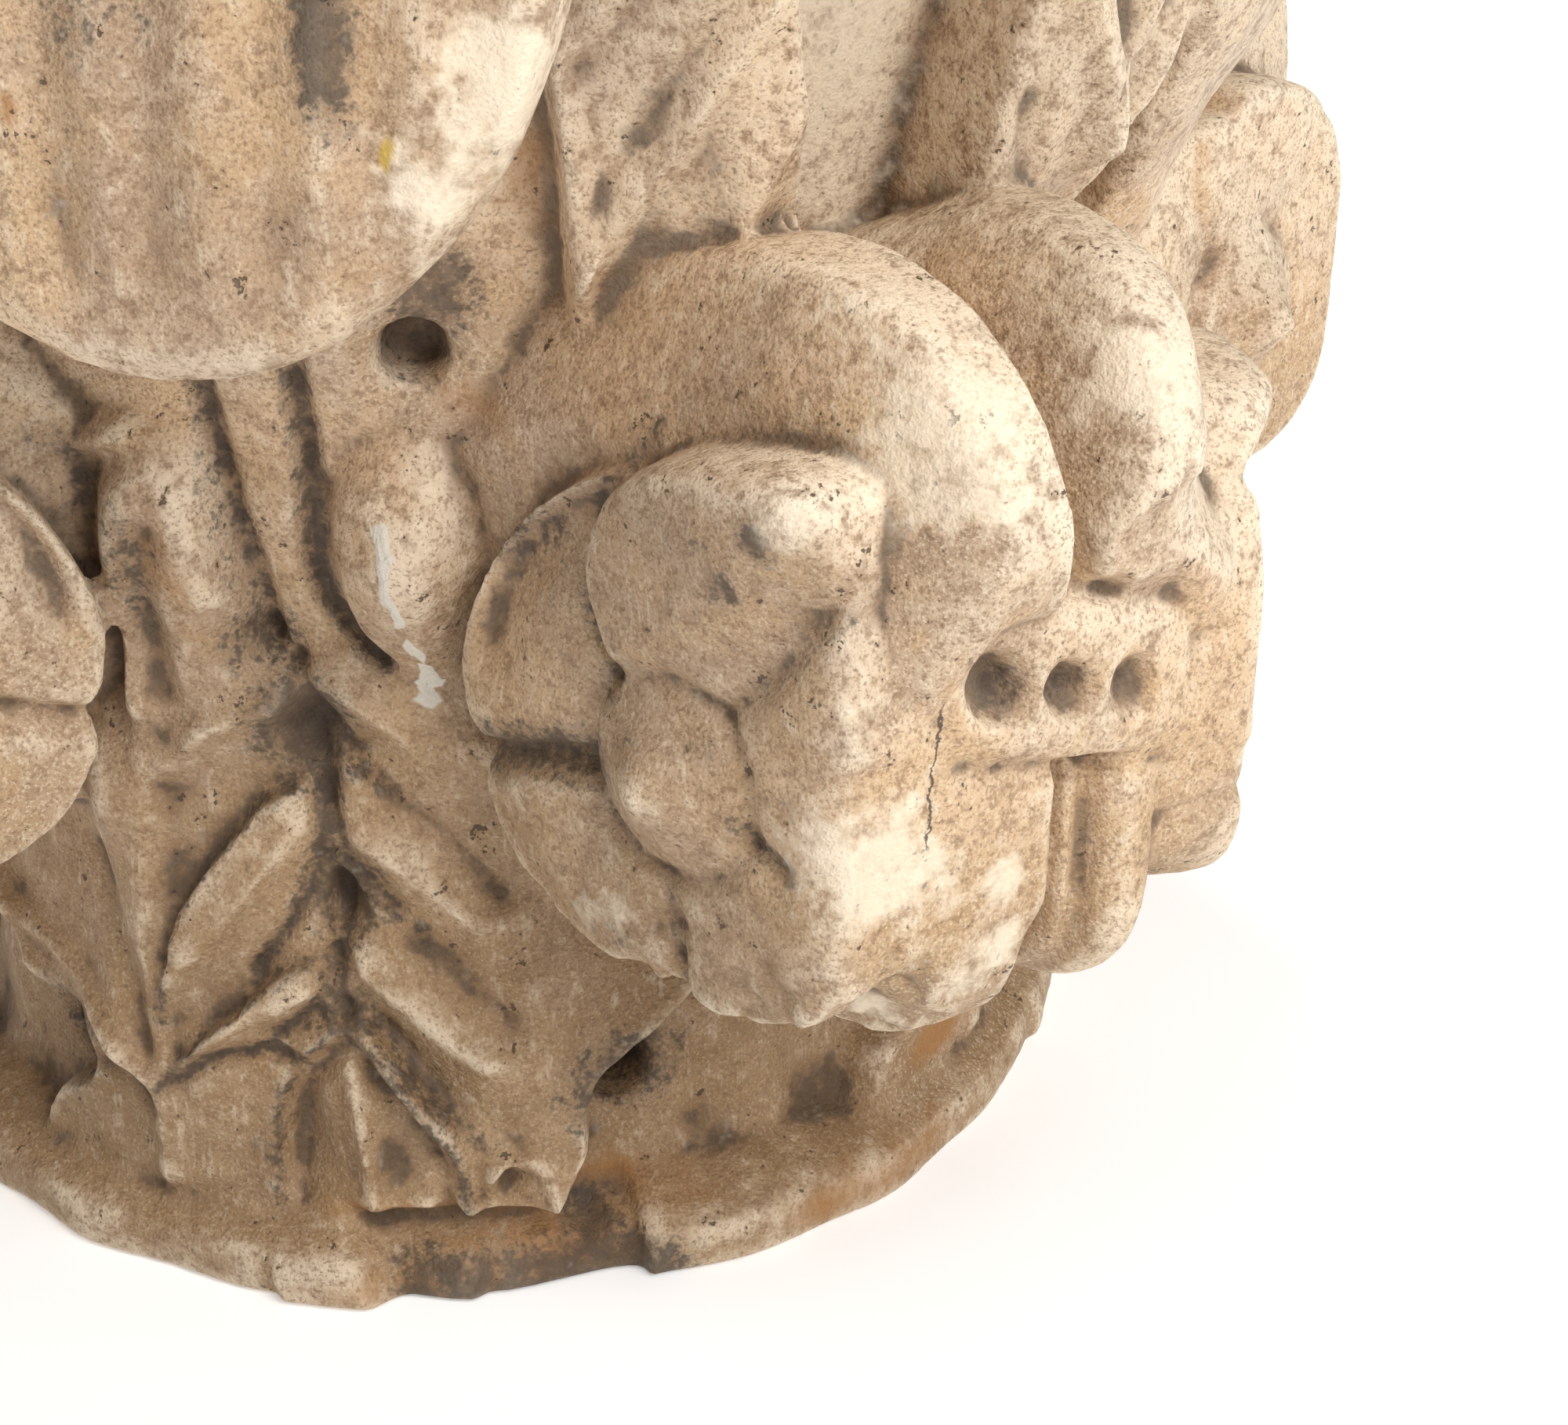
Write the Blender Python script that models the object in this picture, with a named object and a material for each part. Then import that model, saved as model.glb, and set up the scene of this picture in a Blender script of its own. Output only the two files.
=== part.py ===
"""Carved marble column capital, one block.

Metres, +Z up. The origin is the centre of the round bottom bed. Lengths inside
the carving functions are in base radii and are scaled by BASE_RADIUS when the
surfaces are made. Azimuth is measured from -Y (the front face) toward +X, so the
four faces are at 0, 90, 180 and 270 degrees and the four corners between them.
"""
import math

import bmesh
import bpy
import numpy as np

# Driving dimensions.
BASE_RADIUS = 0.130          # bottom bed, half of its diameter
HEIGHT = 2.60                # everything below is in base radii
ABACUS_UNDERSIDE = 2.36
ABACUS_CORNER = 1.75         # from the axis to the cut corner of the top slab
ABACUS_SIDE = 1.36           # from the axis to the middle of its hollowed side
ABACUS_CORNER_WIDTH = 0.20   # half width of the cut corner

FLOWER_CENTRE = (1.26, 0.415, 1.105)  # outward, sideways and up from the corner axis
FLOWER_RADIUS = 0.405
FLOWER_THICKNESS = 0.22
FLOWER_TOE_IN = math.radians(13.0)
PETAL_EDGES = (190.0, 110.0, 38.0, -35.0, -90.0)
BOSS_CENTRE = (0.070, 0.030)          # in the flower's plane, from its centre
BOSS_RADIUS = 0.130
BOSS_HEIGHT = 0.130

LOW_HOLE = (15.3, 0.31, 0.056)        # degrees from the corner, height, radius
HIGH_HOLE = (12.6, 1.54, 0.048)       # degrees from the face centre, height, radius
STRAP_HOLES = (-0.110, 0.003, 0.105)  # sideways places of the three holes in a strap
STRAP_HOLE_RADIUS = 0.028
HOLE_DEPTH = 0.10

FACES = (0.0, 90.0, 180.0, 270.0)
CORNERS = (45.0, 135.0, 225.0, 315.0)

# The bell behind the carving: height against radius.
BELL_Z = (0.00, 0.02, 0.05, 0.08, 0.11, 0.14, 0.20, 0.30, 0.45, 0.60, 0.90, 1.08, 1.24, 1.40,
          1.54, 1.80, 2.10, 2.36, 2.45)
BELL_R = (1.005, 1.015, 1.01, 0.99, 0.955, 0.92, 0.905, 0.905, 0.89, 0.865, 0.845, 0.850, 0.905, 0.945,
          0.985, 1.03, 1.09, 1.19, 1.20)


def clear_scene():
    for item in list(bpy.data.objects):
        bpy.data.objects.remove(item, do_unlink=True)


def smooth(edge0, edge1, x):
    """0 before edge0, 1 after edge1, with soft ends."""
    t = np.clip((x - edge0) / (edge1 - edge0), 0.0, 1.0)
    return t * t * (3.0 - 2.0 * t)


def line_distance(x, y, points):
    """Distance from the places x, y to a line through points."""
    best = np.full(np.shape(x), 1e9)
    for (x0, y0), (x1, y1) in zip(points[:-1], points[1:]):
        dx, dy = x1 - x0, y1 - y0
        t = np.clip(((x - x0) * dx + (y - y0) * dy) / (dx * dx + dy * dy), 0.0, 1.0)
        best = np.minimum(best, np.hypot(x - x0 - t * dx, y - y0 - t * dy))
    return best


def spot(x, y, cx, cy, rx, ry):
    """Soft round spot: 1 at its centre, 0 outside the ellipse."""
    d = np.hypot((x - cx) / rx, (y - cy) / ry)
    return 1.0 - smooth(0.0, 1.0, d)


def mark(x, y, points, width):
    """Soft band along a line: 1 on it, 0 at width from it."""
    return 1.0 - smooth(0.0, 1.0, line_distance(x, y, points) / width)


def face_relief(a, z):
    """Height of the carving over the bell on one face, at a degrees from its centre."""
    x = a * 0.0157
    h = np.zeros(np.shape(a))
    # Two leaves side by side, each a broad swelling with a rib down its middle.
    inside_leaf = smooth(0.10, 0.16, z) * (1.0 - smooth(1.32, 1.42, z))
    left = mark(x, z, [(-0.27, 0.1), (-0.26, 0.7), (-0.22, 1.15)], 0.36)
    right = mark(x, z, [(0.33, 0.1), (0.31, 0.7), (0.20, 1.15)], 0.36)
    h += 0.030 * inside_leaf * np.maximum(left, right)
    h += 0.014 * mark(x, z, [(-0.24, 0.15), (-0.25, 0.5), (-0.26, 0.75), (-0.21, 1.1)], 0.05)
    h += 0.014 * mark(x, z, [(0.35, 0.18), (0.32, 0.55), (0.30, 0.8)], 0.05)
    # The leaf edges rise to the corner and leave a plain field around the drilled holes.
    edge_right = 0.33 + (a - 26.0) * 0.0115
    edge_left = 0.32 + (-a - 25.0) * 0.0115
    field = np.maximum((a > 24.5) * smooth(0.01, -0.03, z - edge_right),
                       (a < -24.0) * smooth(0.01, -0.03, z - edge_left))
    h -= 0.040 * field * smooth(0.10, 0.16, z)
    # Leaflets climb from the ribs to the line where the leaves meet, with eyes between their tips.
    for leaflet in (((-0.22, 0.72), (-0.03, 1.00)), ((-0.22, 0.48), (-0.02, 0.80)), ((-0.22, 0.30), (-0.02, 0.56)),
                    ((0.28, 0.72), (0.05, 1.00)), ((0.28, 0.46), (0.09, 0.79)), ((0.28, 0.26), (0.09, 0.56))):
        h += 0.022 * mark(x, z, leaflet, 0.085)
    h -= 0.020 * mark(x, z, [(0.0, 1.03), (0.02, 0.93), (0.038, 0.80), (0.04, 0.50)], 0.06)
    h -= 0.050 * spot(x, z, 0.000, 0.915, 0.085, 0.10)
    h -= 0.055 * spot(x, z, 0.040, 0.650, 0.085, 0.10)
    h -= 0.035 * spot(x, z, 0.045, 0.460, 0.080, 0.10)
    # The small leaf at the foot of the face.
    h += 0.022 * mark(x, z, [(0.05, 0.36), (0.07, 0.16)], 0.11)
    # The rounded tips of the two leaves and the stem between them.
    h += 0.075 * spot(x, z, -0.18, 1.20, 0.16, 0.25)
    h += 0.075 * spot(x, z, 0.17, 1.20, 0.15, 0.25)
    h -= 0.040 * mark(x, z, [(-0.07, 1.50), (-0.06, 1.12)], 0.045)
    h -= 0.045 * mark(x, z, [(0.055, 1.50), (0.05, 1.12)], 0.045)
    # The stem of the centre leaf spreads on the bell under the leaf tip.
    h += 0.030 * spot(x, z, 0.0, 1.75, 0.30, 0.35)
    return h


def bell_radius(azimuth, z):
    """Radius of the bell with its carving, in base radii."""
    r = np.interp(z, BELL_Z, BELL_R)
    a = (azimuth + 45.0) % 90.0 - 45.0
    r = r + face_relief(a, z)
    # A ridge stands on the plain field at each corner.
    corner = 45.0 - np.abs(a)
    r = r + 0.018 * (1.0 - smooth(0.0, 9.0, corner)) * smooth(0.06, 0.12, z) * (1.0 - smooth(0.5, 0.8, z))
    # The base ring is broken away on the front and bruised around the back.
    ring = 1.0 - smooth(0.10, 0.16, z)
    full = azimuth % 360.0
    broken = smooth(4.0, 9.0, full) * (1.0 - smooth(33.0, 40.0, full))
    r = r - ring * 0.030 * broken * smooth(0.01, 0.05, z)
    wave = np.sin(np.radians(full * 7.0)) * np.sin(np.radians(full * 11.0 + 40.0))
    r = r - ring * 0.006 * (1.0 + wave) * (1.0 - broken)
    return r


def polar(radius, azimuth, z):
    a = math.radians(azimuth)
    return (radius * math.sin(a), -radius * math.cos(a), z)


def corner_place(corner, out, side, z):
    """A point given outward and sideways from the axis, along one corner."""
    a = math.radians(corner)
    return (out * math.sin(a) + side * math.cos(a), -out * math.cos(a) + side * math.sin(a), z)


def closed_body(name, points):
    """A closed skin over a grid of points.

    points[row][column] runs around in its columns and from one pole to the
    other in its rows; the first and the last row are single places.
    """
    rows, columns = len(points), len(points[0])
    mesh = bpy.data.meshes.new(name)
    bm = bmesh.new()
    bmesh.ops.create_grid(bm, x_segments=columns, y_segments=rows - 1, size=1.0)
    for vert in bm.verts:
        column = round((vert.co.x + 1.0) * 0.5 * columns) % columns
        row = round((vert.co.y + 1.0) * 0.5 * (rows - 1))
        vert.co = [value * BASE_RADIUS for value in points[row][column]]
    bmesh.ops.remove_doubles(bm, verts=bm.verts, dist=1e-6)
    bmesh.ops.dissolve_degenerate(bm, edges=bm.edges, dist=1e-6)
    bmesh.ops.triangulate(bm, faces=bm.faces)
    bmesh.ops.recalc_face_normals(bm, faces=bm.faces)
    bm.to_mesh(mesh)
    bm.free()
    body = bpy.data.objects.new(name, mesh)
    return body


def resample(points, count, closed=False):
    """Smooth curve through points (rows of any length), as count places."""
    p = np.array(points, dtype=float)
    if closed:
        p = np.vstack([p[-1:], p, p[:2]])
    else:
        p = np.vstack([2 * p[0] - p[1], p, 2 * p[-1] - p[-2]])
    pieces = len(p) - 3
    result = []
    for i in range(count):
        t = i * pieces / count if closed else i * pieces / (count - 1)
        k = min(int(t), pieces - 1)
        t -= k
        a, b, c, d = p[k], p[k + 1], p[k + 2], p[k + 3]
        result.append(0.5 * ((2 * b) + (c - a) * t + (2 * a - 5 * b + 4 * c - d) * t * t
                             + (3 * b - a - 3 * c + d) * t ** 3))
    return np.array(result)


def make_bell():
    """The bell with the lower leaves, closed by a flat bottom bed."""
    shown = (-45, -36, -29, -25, -21.5, -18.5, -16, -13, -10, -7, -4.4, -2.2, 0, 2.4, 4.8, 7.4,
             10.5, 14, 17.5, 21, 24.5, 27.5, 32, 38)
    plain = (-45, -34, -26, -20, -15, -11, -7, -3.5, 0, 3.5, 7, 11, 15, 20, 26, 34)
    azimuths = [face + a for face in FACES for a in (shown if face == 0.0 else plain)]
    heights = (0.0, 0.03, 0.09, 0.14, 0.22, 0.30, 0.38, 0.46, 0.54, 0.63, 0.72, 0.81,
               0.90, 0.98, 1.07, 1.17, 1.27, 1.38, 1.50, 1.68, 2.00, 2.42)
    points = [[(0.0, 0.0, 0.0)] * len(azimuths)]
    for z in heights:
        points.append([polar(float(bell_radius(a, z)), a, z) for a in azimuths])
    points.append([(0.0, 0.0, 2.42)] * len(azimuths))
    return closed_body("bell", points)


# The corner scroll, outline by outline from its root over its top, down its
# front and back along its underside. Each row is the middle valley (out, up),
# the ridge (out, up, side) and the outer shoulder (out, up, side).
SCROLL = (
    (0.60, 1.40, 0.60, 1.42, 0.42, 0.60, 1.30, 0.48),
    (0.85, 1.56, 0.85, 1.54, 0.37, 0.85, 1.40, 0.46),
    (1.00, 1.64, 1.00, 1.665, 0.29, 0.97, 1.47, 0.43),
    (1.12, 1.63, 1.12, 1.72, 0.23, 1.09, 1.49, 0.40),
    (1.22, 1.60, 1.22, 1.748, 0.20, 1.20, 1.50, 0.38),
    (1.31, 1.56, 1.34, 1.757, 0.19, 1.30, 1.49, 0.365),
    (1.40, 1.50, 1.46, 1.74, 0.185, 1.40, 1.455, 0.345),
    (1.47, 1.45, 1.55, 1.69, 0.17, 1.48, 1.40, 0.32),
    (1.52, 1.40, 1.62, 1.60, 0.145, 1.54, 1.34, 0.29),
    (1.545, 1.35, 1.655, 1.49, 0.115, 1.575, 1.29, 0.26),
    (1.55, 1.32, 1.63, 1.38, 0.11, 1.575, 1.25, 0.23),
    (1.55, 1.29, 1.57, 1.30, 0.12, 1.555, 1.20, 0.205),
    (1.535, 1.08, 1.57, 1.08, 0.115, 1.54, 1.08, 0.20),
    (1.515, 0.98, 1.58, 0.98, 0.11, 1.53, 0.98, 0.20),
    (1.50, 0.88, 1.57, 0.87, 0.105, 1.52, 0.88, 0.195),
    (1.46, 0.78, 1.535, 0.765, 0.10, 1.47, 0.79, 0.185),
    (1.36, 0.71, 1.43, 0.69, 0.105, 1.34, 0.725, 0.20),
    (1.18, 0.71, 1.20, 0.685, 0.13, 1.18, 0.73, 0.26),
    (0.98, 0.72, 0.98, 0.71, 0.16, 0.98, 0.75, 0.30),
    (0.78, 0.72, 0.78, 0.72, 0.20, 0.78, 0.76, 0.34),
    (0.58, 0.78, 0.58, 0.78, 0.30, 0.58, 0.86, 0.42),
    (0.50, 1.10, 0.50, 1.10, 0.36, 0.50, 1.10, 0.46),
)


def make_scroll(corner, count=22):
    """The two-ridged scroll at one corner."""
    outline = resample(SCROLL, count, closed=True)
    # Across: 0 in the valley, 1 on the ridge, 2 on the shoulder.
    steps = (0.0, 0.5, 1.0, 1.5, 2.0)
    across = [-s for s in reversed(steps[1:])] + list(steps)
    rows = [[corner_place(corner, 1.05, -0.40, 1.12)] * count]
    for w in across:
        row = []
        for v_out, v_up, r_out, r_up, r_side, f_out, f_up, f_side in outline:
            size = abs(w)
            if size <= 1.0:
                k = size * size * (3 - 2 * size)
                out, up, side = v_out + (r_out - v_out) * k, v_up + (r_up - v_up) * k, r_side * size
            else:
                k = size - 1.0
                bow = 0.10 * k * (1 - k)
                out = r_out + (f_out - r_out) * k
                up = r_up + (f_up - r_up) * k + bow * (r_up - f_up)
                side = r_side + (f_side - r_side) * k + bow * 0.3
            row.append(corner_place(corner, out, math.copysign(side, w) if w else 0.0, up))
        rows.append(row)
    rows.append([corner_place(corner, 1.05, 0.40, 1.12)] * count)
    return closed_body("scroll", rows)


def petal_height(angle, ring):
    """Height of a flower's face over its plane, at an angle in degrees and a share of its radius."""
    edge_gap = min(abs((angle - e + 180.0) % 360.0 - 180.0) for e in PETAL_EDGES)
    away = min(edge_gap * math.pi / 180.0 * ring * FLOWER_RADIUS / 0.09, 1.0)
    swell = away * away * (3 - 2 * away)
    h = 0.030 * swell * math.sin(math.pi * min(ring, 1.0))
    # The upper outer petal stands proud, the upper inner one is scooped.
    middle = (angle - 74.0 + 180.0) % 360.0 - 180.0
    h += 0.070 * max(0.0, 1.0 - (middle / 38.0) ** 2) * math.sin(math.pi * min(ring, 1.0)) * swell
    middle = (angle - 145.0 + 180.0) % 360.0 - 180.0
    h -= 0.045 * max(0.0, 1.0 - (middle / 42.0) ** 2) * math.sin(math.pi * min(ring, 1.0))
    return h


# Each flower was cut by hand: its shift outward, sideways and up, the growth of
# its upper petal and the wear of its outer one.
FLOWER_SHIFTS = {
    (45.0, 1): (0.00, 0.01, 0.02, 0.06, 0.07),
    (135.0, -1): (-0.01, 0.055, 0.00, 0.03, 0.0),
    (315.0, 1): (-0.01, 0.025, 0.00, 0.02, 0.0),
}


def make_flower(corner, hand):
    """One thick five-petal flower with its boss; hand is -1 on the left, +1 on the right."""
    out0, side0, up0 = FLOWER_CENTRE
    shift_out, shift_side, shift_up, growth, wear = FLOWER_SHIFTS.get((corner, hand), (0.0,) * 5)
    out0, side0, up0 = out0 + shift_out, side0 + shift_side, up0 + shift_up
    sin_toe, cos_toe = math.sin(FLOWER_TOE_IN), math.cos(FLOWER_TOE_IN)

    def place(x, y, depth):
        # x runs outward in the flower's plane, y up, depth along its facing direction.
        out = out0 + x * cos_toe + depth * sin_toe
        side = side0 - x * sin_toe + depth * cos_toe
        return corner_place(corner, out, hand * side, up0 + y)

    # Three places around each petal, one of them in the groove at its edge.
    angles = []
    for edge, following in zip(PETAL_EDGES, PETAL_EDGES[1:] + (PETAL_EDGES[0] - 360.0,)):
        angles += [edge, edge - 17.0, following + 17.0]
    count = len(angles)

    def ring_row(ring, depth_of):
        row = []
        for angle in angles:
            edge_gap = min(abs((angle - e + 180.0) % 360.0 - 180.0) for e in PETAL_EDGES)
            notch = 1.0 - 0.055 * max(0.0, 1.0 - edge_gap / 14.0)
            a = math.radians(angle)
            radius = FLOWER_RADIUS * ring * (notch if ring > 0.5 else 1.0)
            radius += growth * max(0.0, math.cos(a - math.radians(74.0)))
            radius -= wear * max(0.0, math.cos(a + math.radians(15.0))) ** 2
            row.append(place(radius * math.cos(a), radius * math.sin(a), depth_of(angle)))
        return row

    boss_x, boss_y = BOSS_CENTRE
    rows = [[place(0.0, 0.0, -FLOWER_THICKNESS)] * count]
    rows.append(ring_row(0.93, lambda angle: -FLOWER_THICKNESS))
    rows.append(ring_row(1.00, lambda angle: -0.05))
    rows.append(ring_row(0.94, lambda angle: -0.005))
    rows.append(ring_row(0.70, lambda angle: petal_height(angle, 0.70)))
    for share, height in ((1.10, 0.0), (0.68, 0.68)):
        row = []
        for angle in angles:
            a = math.radians(angle)
            row.append(place(boss_x + BOSS_RADIUS * share * math.cos(a),
                             boss_y + BOSS_RADIUS * share * math.sin(a), BOSS_HEIGHT * height))
        rows.append(row)
    rows.append([place(boss_x, boss_y, BOSS_HEIGHT)] * count)
    return closed_body("flower", rows)


def make_strap(corner):
    """The strap that ties the two flowers under the scroll."""
    rows = []
    half, low, high, front, back = 0.215, 1.125, 1.335, 1.60, 1.40
    section = ((back, low), (front - 0.02, low), (front, low + 0.025), (front, high - 0.025),
               (front - 0.02, high), (back, high))
    middle = (1.45, 0.5 * (low + high))
    places = (-half, -half + 0.02, 0.0, half - 0.02, half)
    rows.append([corner_place(corner, middle[0], places[0], middle[1] + 0.03)] * len(section))
    for side in places:
        lean = -0.24 * side
        round_off = 0.015 if abs(side) > half - 0.01 else 0.0
        bow = -0.6 * side * side
        rows.append([corner_place(corner, out + bow - (round_off if out > 1.5 else 0.0), side, up + lean)
                     for out, up in section])
    rows.append([corner_place(corner, middle[0], places[-1], middle[1] - 0.03)] * len(section))
    return closed_body("strap", rows)


def make_calyx_leaf(corner, hand):
    """One of the two upright leaves over a corner scroll, a slab leaning out under the abacus."""
    # height, inner edge (degrees from the corner, radius), outer edge (degrees, radius)
    stations = ((1.50, 6.0, 1.08, 20.5, 0.98),
                (1.62, 6.2, 1.145, 20.6, 1.03),
                (1.74, 6.7, 1.175, 20.9, 1.060),
                (1.98, 9.1, 1.222, 22.8, 1.100),
                (2.18, 11.0, 1.300, 25.0, 1.16),
                (2.38, 12.0, 1.420, 27.0, 1.26))
    rows = [[corner_place(corner, 0.95, hand * 0.22, 1.50)] * 9]
    for z, a_in, r_in, a_out, r_out in stations:
        row = []
        # Front, from the outer edge to the inner one, then the side and the back.
        for share, lift in ((0.0, 0.0), (0.12, 0.025), (0.40, 0.038), (0.75, 0.040), (1.0, 0.0)):
            a = a_out + (a_in - a_out) * share
            r = r_out + (r_in - r_out) * share + lift
            row.append(polar(r, corner + hand * a, z))
        for a, r in ((a_in, r_in - 0.11), (a_in, 0.80), (0.5 * (a_in + a_out), 0.75), (a_out, 0.80)):
            row.append(polar(r, corner + hand * a, z))
        rows.append(row)
    rows.append([corner_place(corner, 1.0, hand * 0.30, 2.38)] * 9)
    return closed_body("calyx_leaf", rows)


def make_centre_leaf(face, shift, broken):
    """The fluted tip of the centre leaf, bent out under the abacus. A broken one ends short."""
    # Outline in the middle: out, up. From the bell over the top, down the front, back under.
    middle = [(0.80, 2.38), (1.25, 2.40), (1.41, 2.30), (1.47, 2.14), (1.485, 1.96),
              (1.475, 1.80), (1.455, 1.70), (1.40, 1.67), (1.28, 1.76), (1.13, 1.72),
              (0.92, 1.50), (0.75, 1.55)]
    if broken:
        middle = [(out if out < 1.12 else 1.12 + 0.22 * (out - 1.12) + 0.10 * max(0.0, up - 1.9), up)
                  for out, up in middle]
    across = (-1.0, -0.90, -0.70, -0.48, -0.24, 0.0, 0.24, 0.48, 0.70, 0.90, 1.0)
    count = len(middle)
    rows = []
    for w in across:
        row = []
        for i, (out, up) in enumerate(middle):
            front = smooth(1.15, 1.40, out)
            # The lower rim is a round scallop, so everything but the top rises toward the sides.
            rise = 0.62 * (1.0 - math.sqrt(max(0.0, 1.0 - w * w)))
            up_w = up + rise * (2.40 - up) / (2.40 - 1.67) * smooth(0.95, 1.15, out)
            curve = 0.09 * w * w * front
            flute = 0.010 * front * math.cos(w * math.pi / 0.24) * (1.0 if not broken else 0.4)
            width = 0.50
            row.append(polar_side(face, out - curve - flute, shift + w * width, min(up_w, 2.40)))
        rows.append(row)
    first = polar_side(face, 1.10, shift - 0.50, 2.20)
    last = polar_side(face, 1.10, shift + 0.50, 2.20)
    return closed_body("centre_leaf", [[first] * count] + rows + [[last] * count])


def polar_side(face, out, side, z):
    return corner_place(face, float(out), float(side), float(z))


def make_abacus():
    """Plain slab with four hollowed sides and cut corners, flat on top."""
    plan = []
    for corner in CORNERS:
        previous = corner - 45.0
        plan.append(corner_place(corner, ABACUS_CORNER, -ABACUS_CORNER_WIDTH, 0.0))
        plan.append(corner_place(corner, ABACUS_CORNER, ABACUS_CORNER_WIDTH, 0.0))
        start = corner_place(corner, ABACUS_CORNER, ABACUS_CORNER_WIDTH, 0.0)
        end = corner_place(corner + 90.0, ABACUS_CORNER, -ABACUS_CORNER_WIDTH, 0.0)
        middle = polar(ABACUS_SIDE, corner + 45.0, 0.0)
        for i in range(1, 6):
            t = i / 6.0
            chord = [start[k] + (end[k] - start[k]) * t for k in (0, 1)]
            centre = [0.5 * (start[k] + end[k]) for k in (0, 1)]
            sag = 4.0 * t * (1.0 - t)
            plan.append((chord[0] + (middle[0] - centre[0]) * sag, chord[1] + (middle[1] - centre[1]) * sag, 0.0))
    profile = ((0.93, ABACUS_UNDERSIDE), (0.97, ABACUS_UNDERSIDE + 0.08), (1.0, ABACUS_UNDERSIDE + 0.10),
               (1.0, HEIGHT - 0.012), (0.992, HEIGHT))
    rows = [[(0.0, 0.0, ABACUS_UNDERSIDE)] * len(plan)]
    for size, z in profile:
        rows.append([(x * size, y * size, z) for x, y, _ in plan])
    rows.append([(0.0, 0.0, HEIGHT)] * len(plan))
    return closed_body("abacus", rows)


def drill(name, start, direction, radius, depth):
    """A drill bit as a cutter: a closed cone-ended rod from outside the surface inward."""
    count = 8 if radius > 0.035 else 6
    d = np.array(direction, dtype=float)
    d /= np.linalg.norm(d)
    side = np.cross(d, (0.0, 0.0, 1.0))
    side /= np.linalg.norm(side)
    up = np.cross(side, d)
    s = np.array(start, dtype=float)
    rows = [[tuple(s - d * 0.10)] * count]
    for along, r in ((-0.10, radius), (depth, radius * 0.9)):
        rows.append([tuple(s + d * along + r * (math.cos(t) * side + math.sin(t) * up))
                     for t in (2 * math.pi * i / count for i in range(count))])
    rows.append([tuple(s + d * (depth + radius * 0.15))] * count)
    return closed_body(name, rows)


def drills():
    """All the drilled holes: low ones at the leaf edges, high ones by the stem, three in a strap."""
    bits = []
    for corner in CORNERS:
        degrees, z, radius = LOW_HOLE
        for hand in (-1, 1):
            azimuth = corner + hand * degrees
            start = polar(0.90, azimuth, z)
            inward = polar(-1.0, azimuth, 0.0)
            bits.append(drill("low_hole", start, inward, radius, HOLE_DEPTH))
        for side in STRAP_HOLES:
            start = corner_place(corner, 1.595 - 0.6 * side * side, side, 1.225 - 0.15 * side)
            bits.append(drill("strap_hole", start, corner_place(corner, -1.0, 0.0, 0.0), STRAP_HOLE_RADIUS, 0.06))
    for face in FACES:
        degrees, z, radius = HIGH_HOLE
        for hand in (-1, 1):
            azimuth = face + hand * degrees
            start = polar(0.985, azimuth, z)
            inward = polar(-1.0, azimuth, -0.35)
            bits.append(drill("high_hole", start, inward, radius, HOLE_DEPTH))
    return bits


def marble():
    material = bpy.data.materials.new("weathered_marble")
    material.use_nodes = True
    shader = material.node_tree.nodes["Principled BSDF"]
    shader.inputs["Base Color"].default_value = (0.50, 0.39, 0.28, 1.0)
    shader.inputs["Roughness"].default_value = 0.75
    shader.inputs["Metallic"].default_value = 0.0
    return material


def guide_collection(name, bodies):
    """Keeps the shapes that a Boolean reads; they aren't part of the object."""
    collection = bpy.data.collections.new(name)
    bpy.context.scene.collection.children.link(collection)
    for body in bodies:
        collection.objects.link(body)
        body.hide_render = True
        body.display_type = "WIRE"
    return collection


def build():
    clear_scene()
    capital = make_bell()
    capital.name = "capital"
    capital.data.name = "capital"
    bpy.context.scene.collection.objects.link(capital)
    capital.data.materials.append(marble())

    carved = []
    for corner in CORNERS:
        carved.append(make_scroll(corner))
        carved.append(make_strap(corner))
        for hand in (-1, 1):
            carved.append(make_flower(corner, hand))
            carved.append(make_calyx_leaf(corner, hand))
    for face in FACES:
        carved.append(make_centre_leaf(face, 0.06 if face == 0.0 else 0.0, broken=(face == 90.0)))
    carved.append(make_abacus())

    union = capital.modifiers.new("carving", "BOOLEAN")
    union.operation = "UNION"
    union.solver = "EXACT"
    union.operand_type = "COLLECTION"
    union.collection = guide_collection("carved_shapes", carved)

    cut = capital.modifiers.new("drilling", "BOOLEAN")
    cut.operation = "DIFFERENCE"
    cut.solver = "EXACT"
    cut.operand_type = "COLLECTION"
    cut.collection = guide_collection("drill_bits", drills())


build()
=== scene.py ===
import itertools
import math

import bmesh
import bpy
import numpy as np
from mathutils import Matrix, Vector


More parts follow.
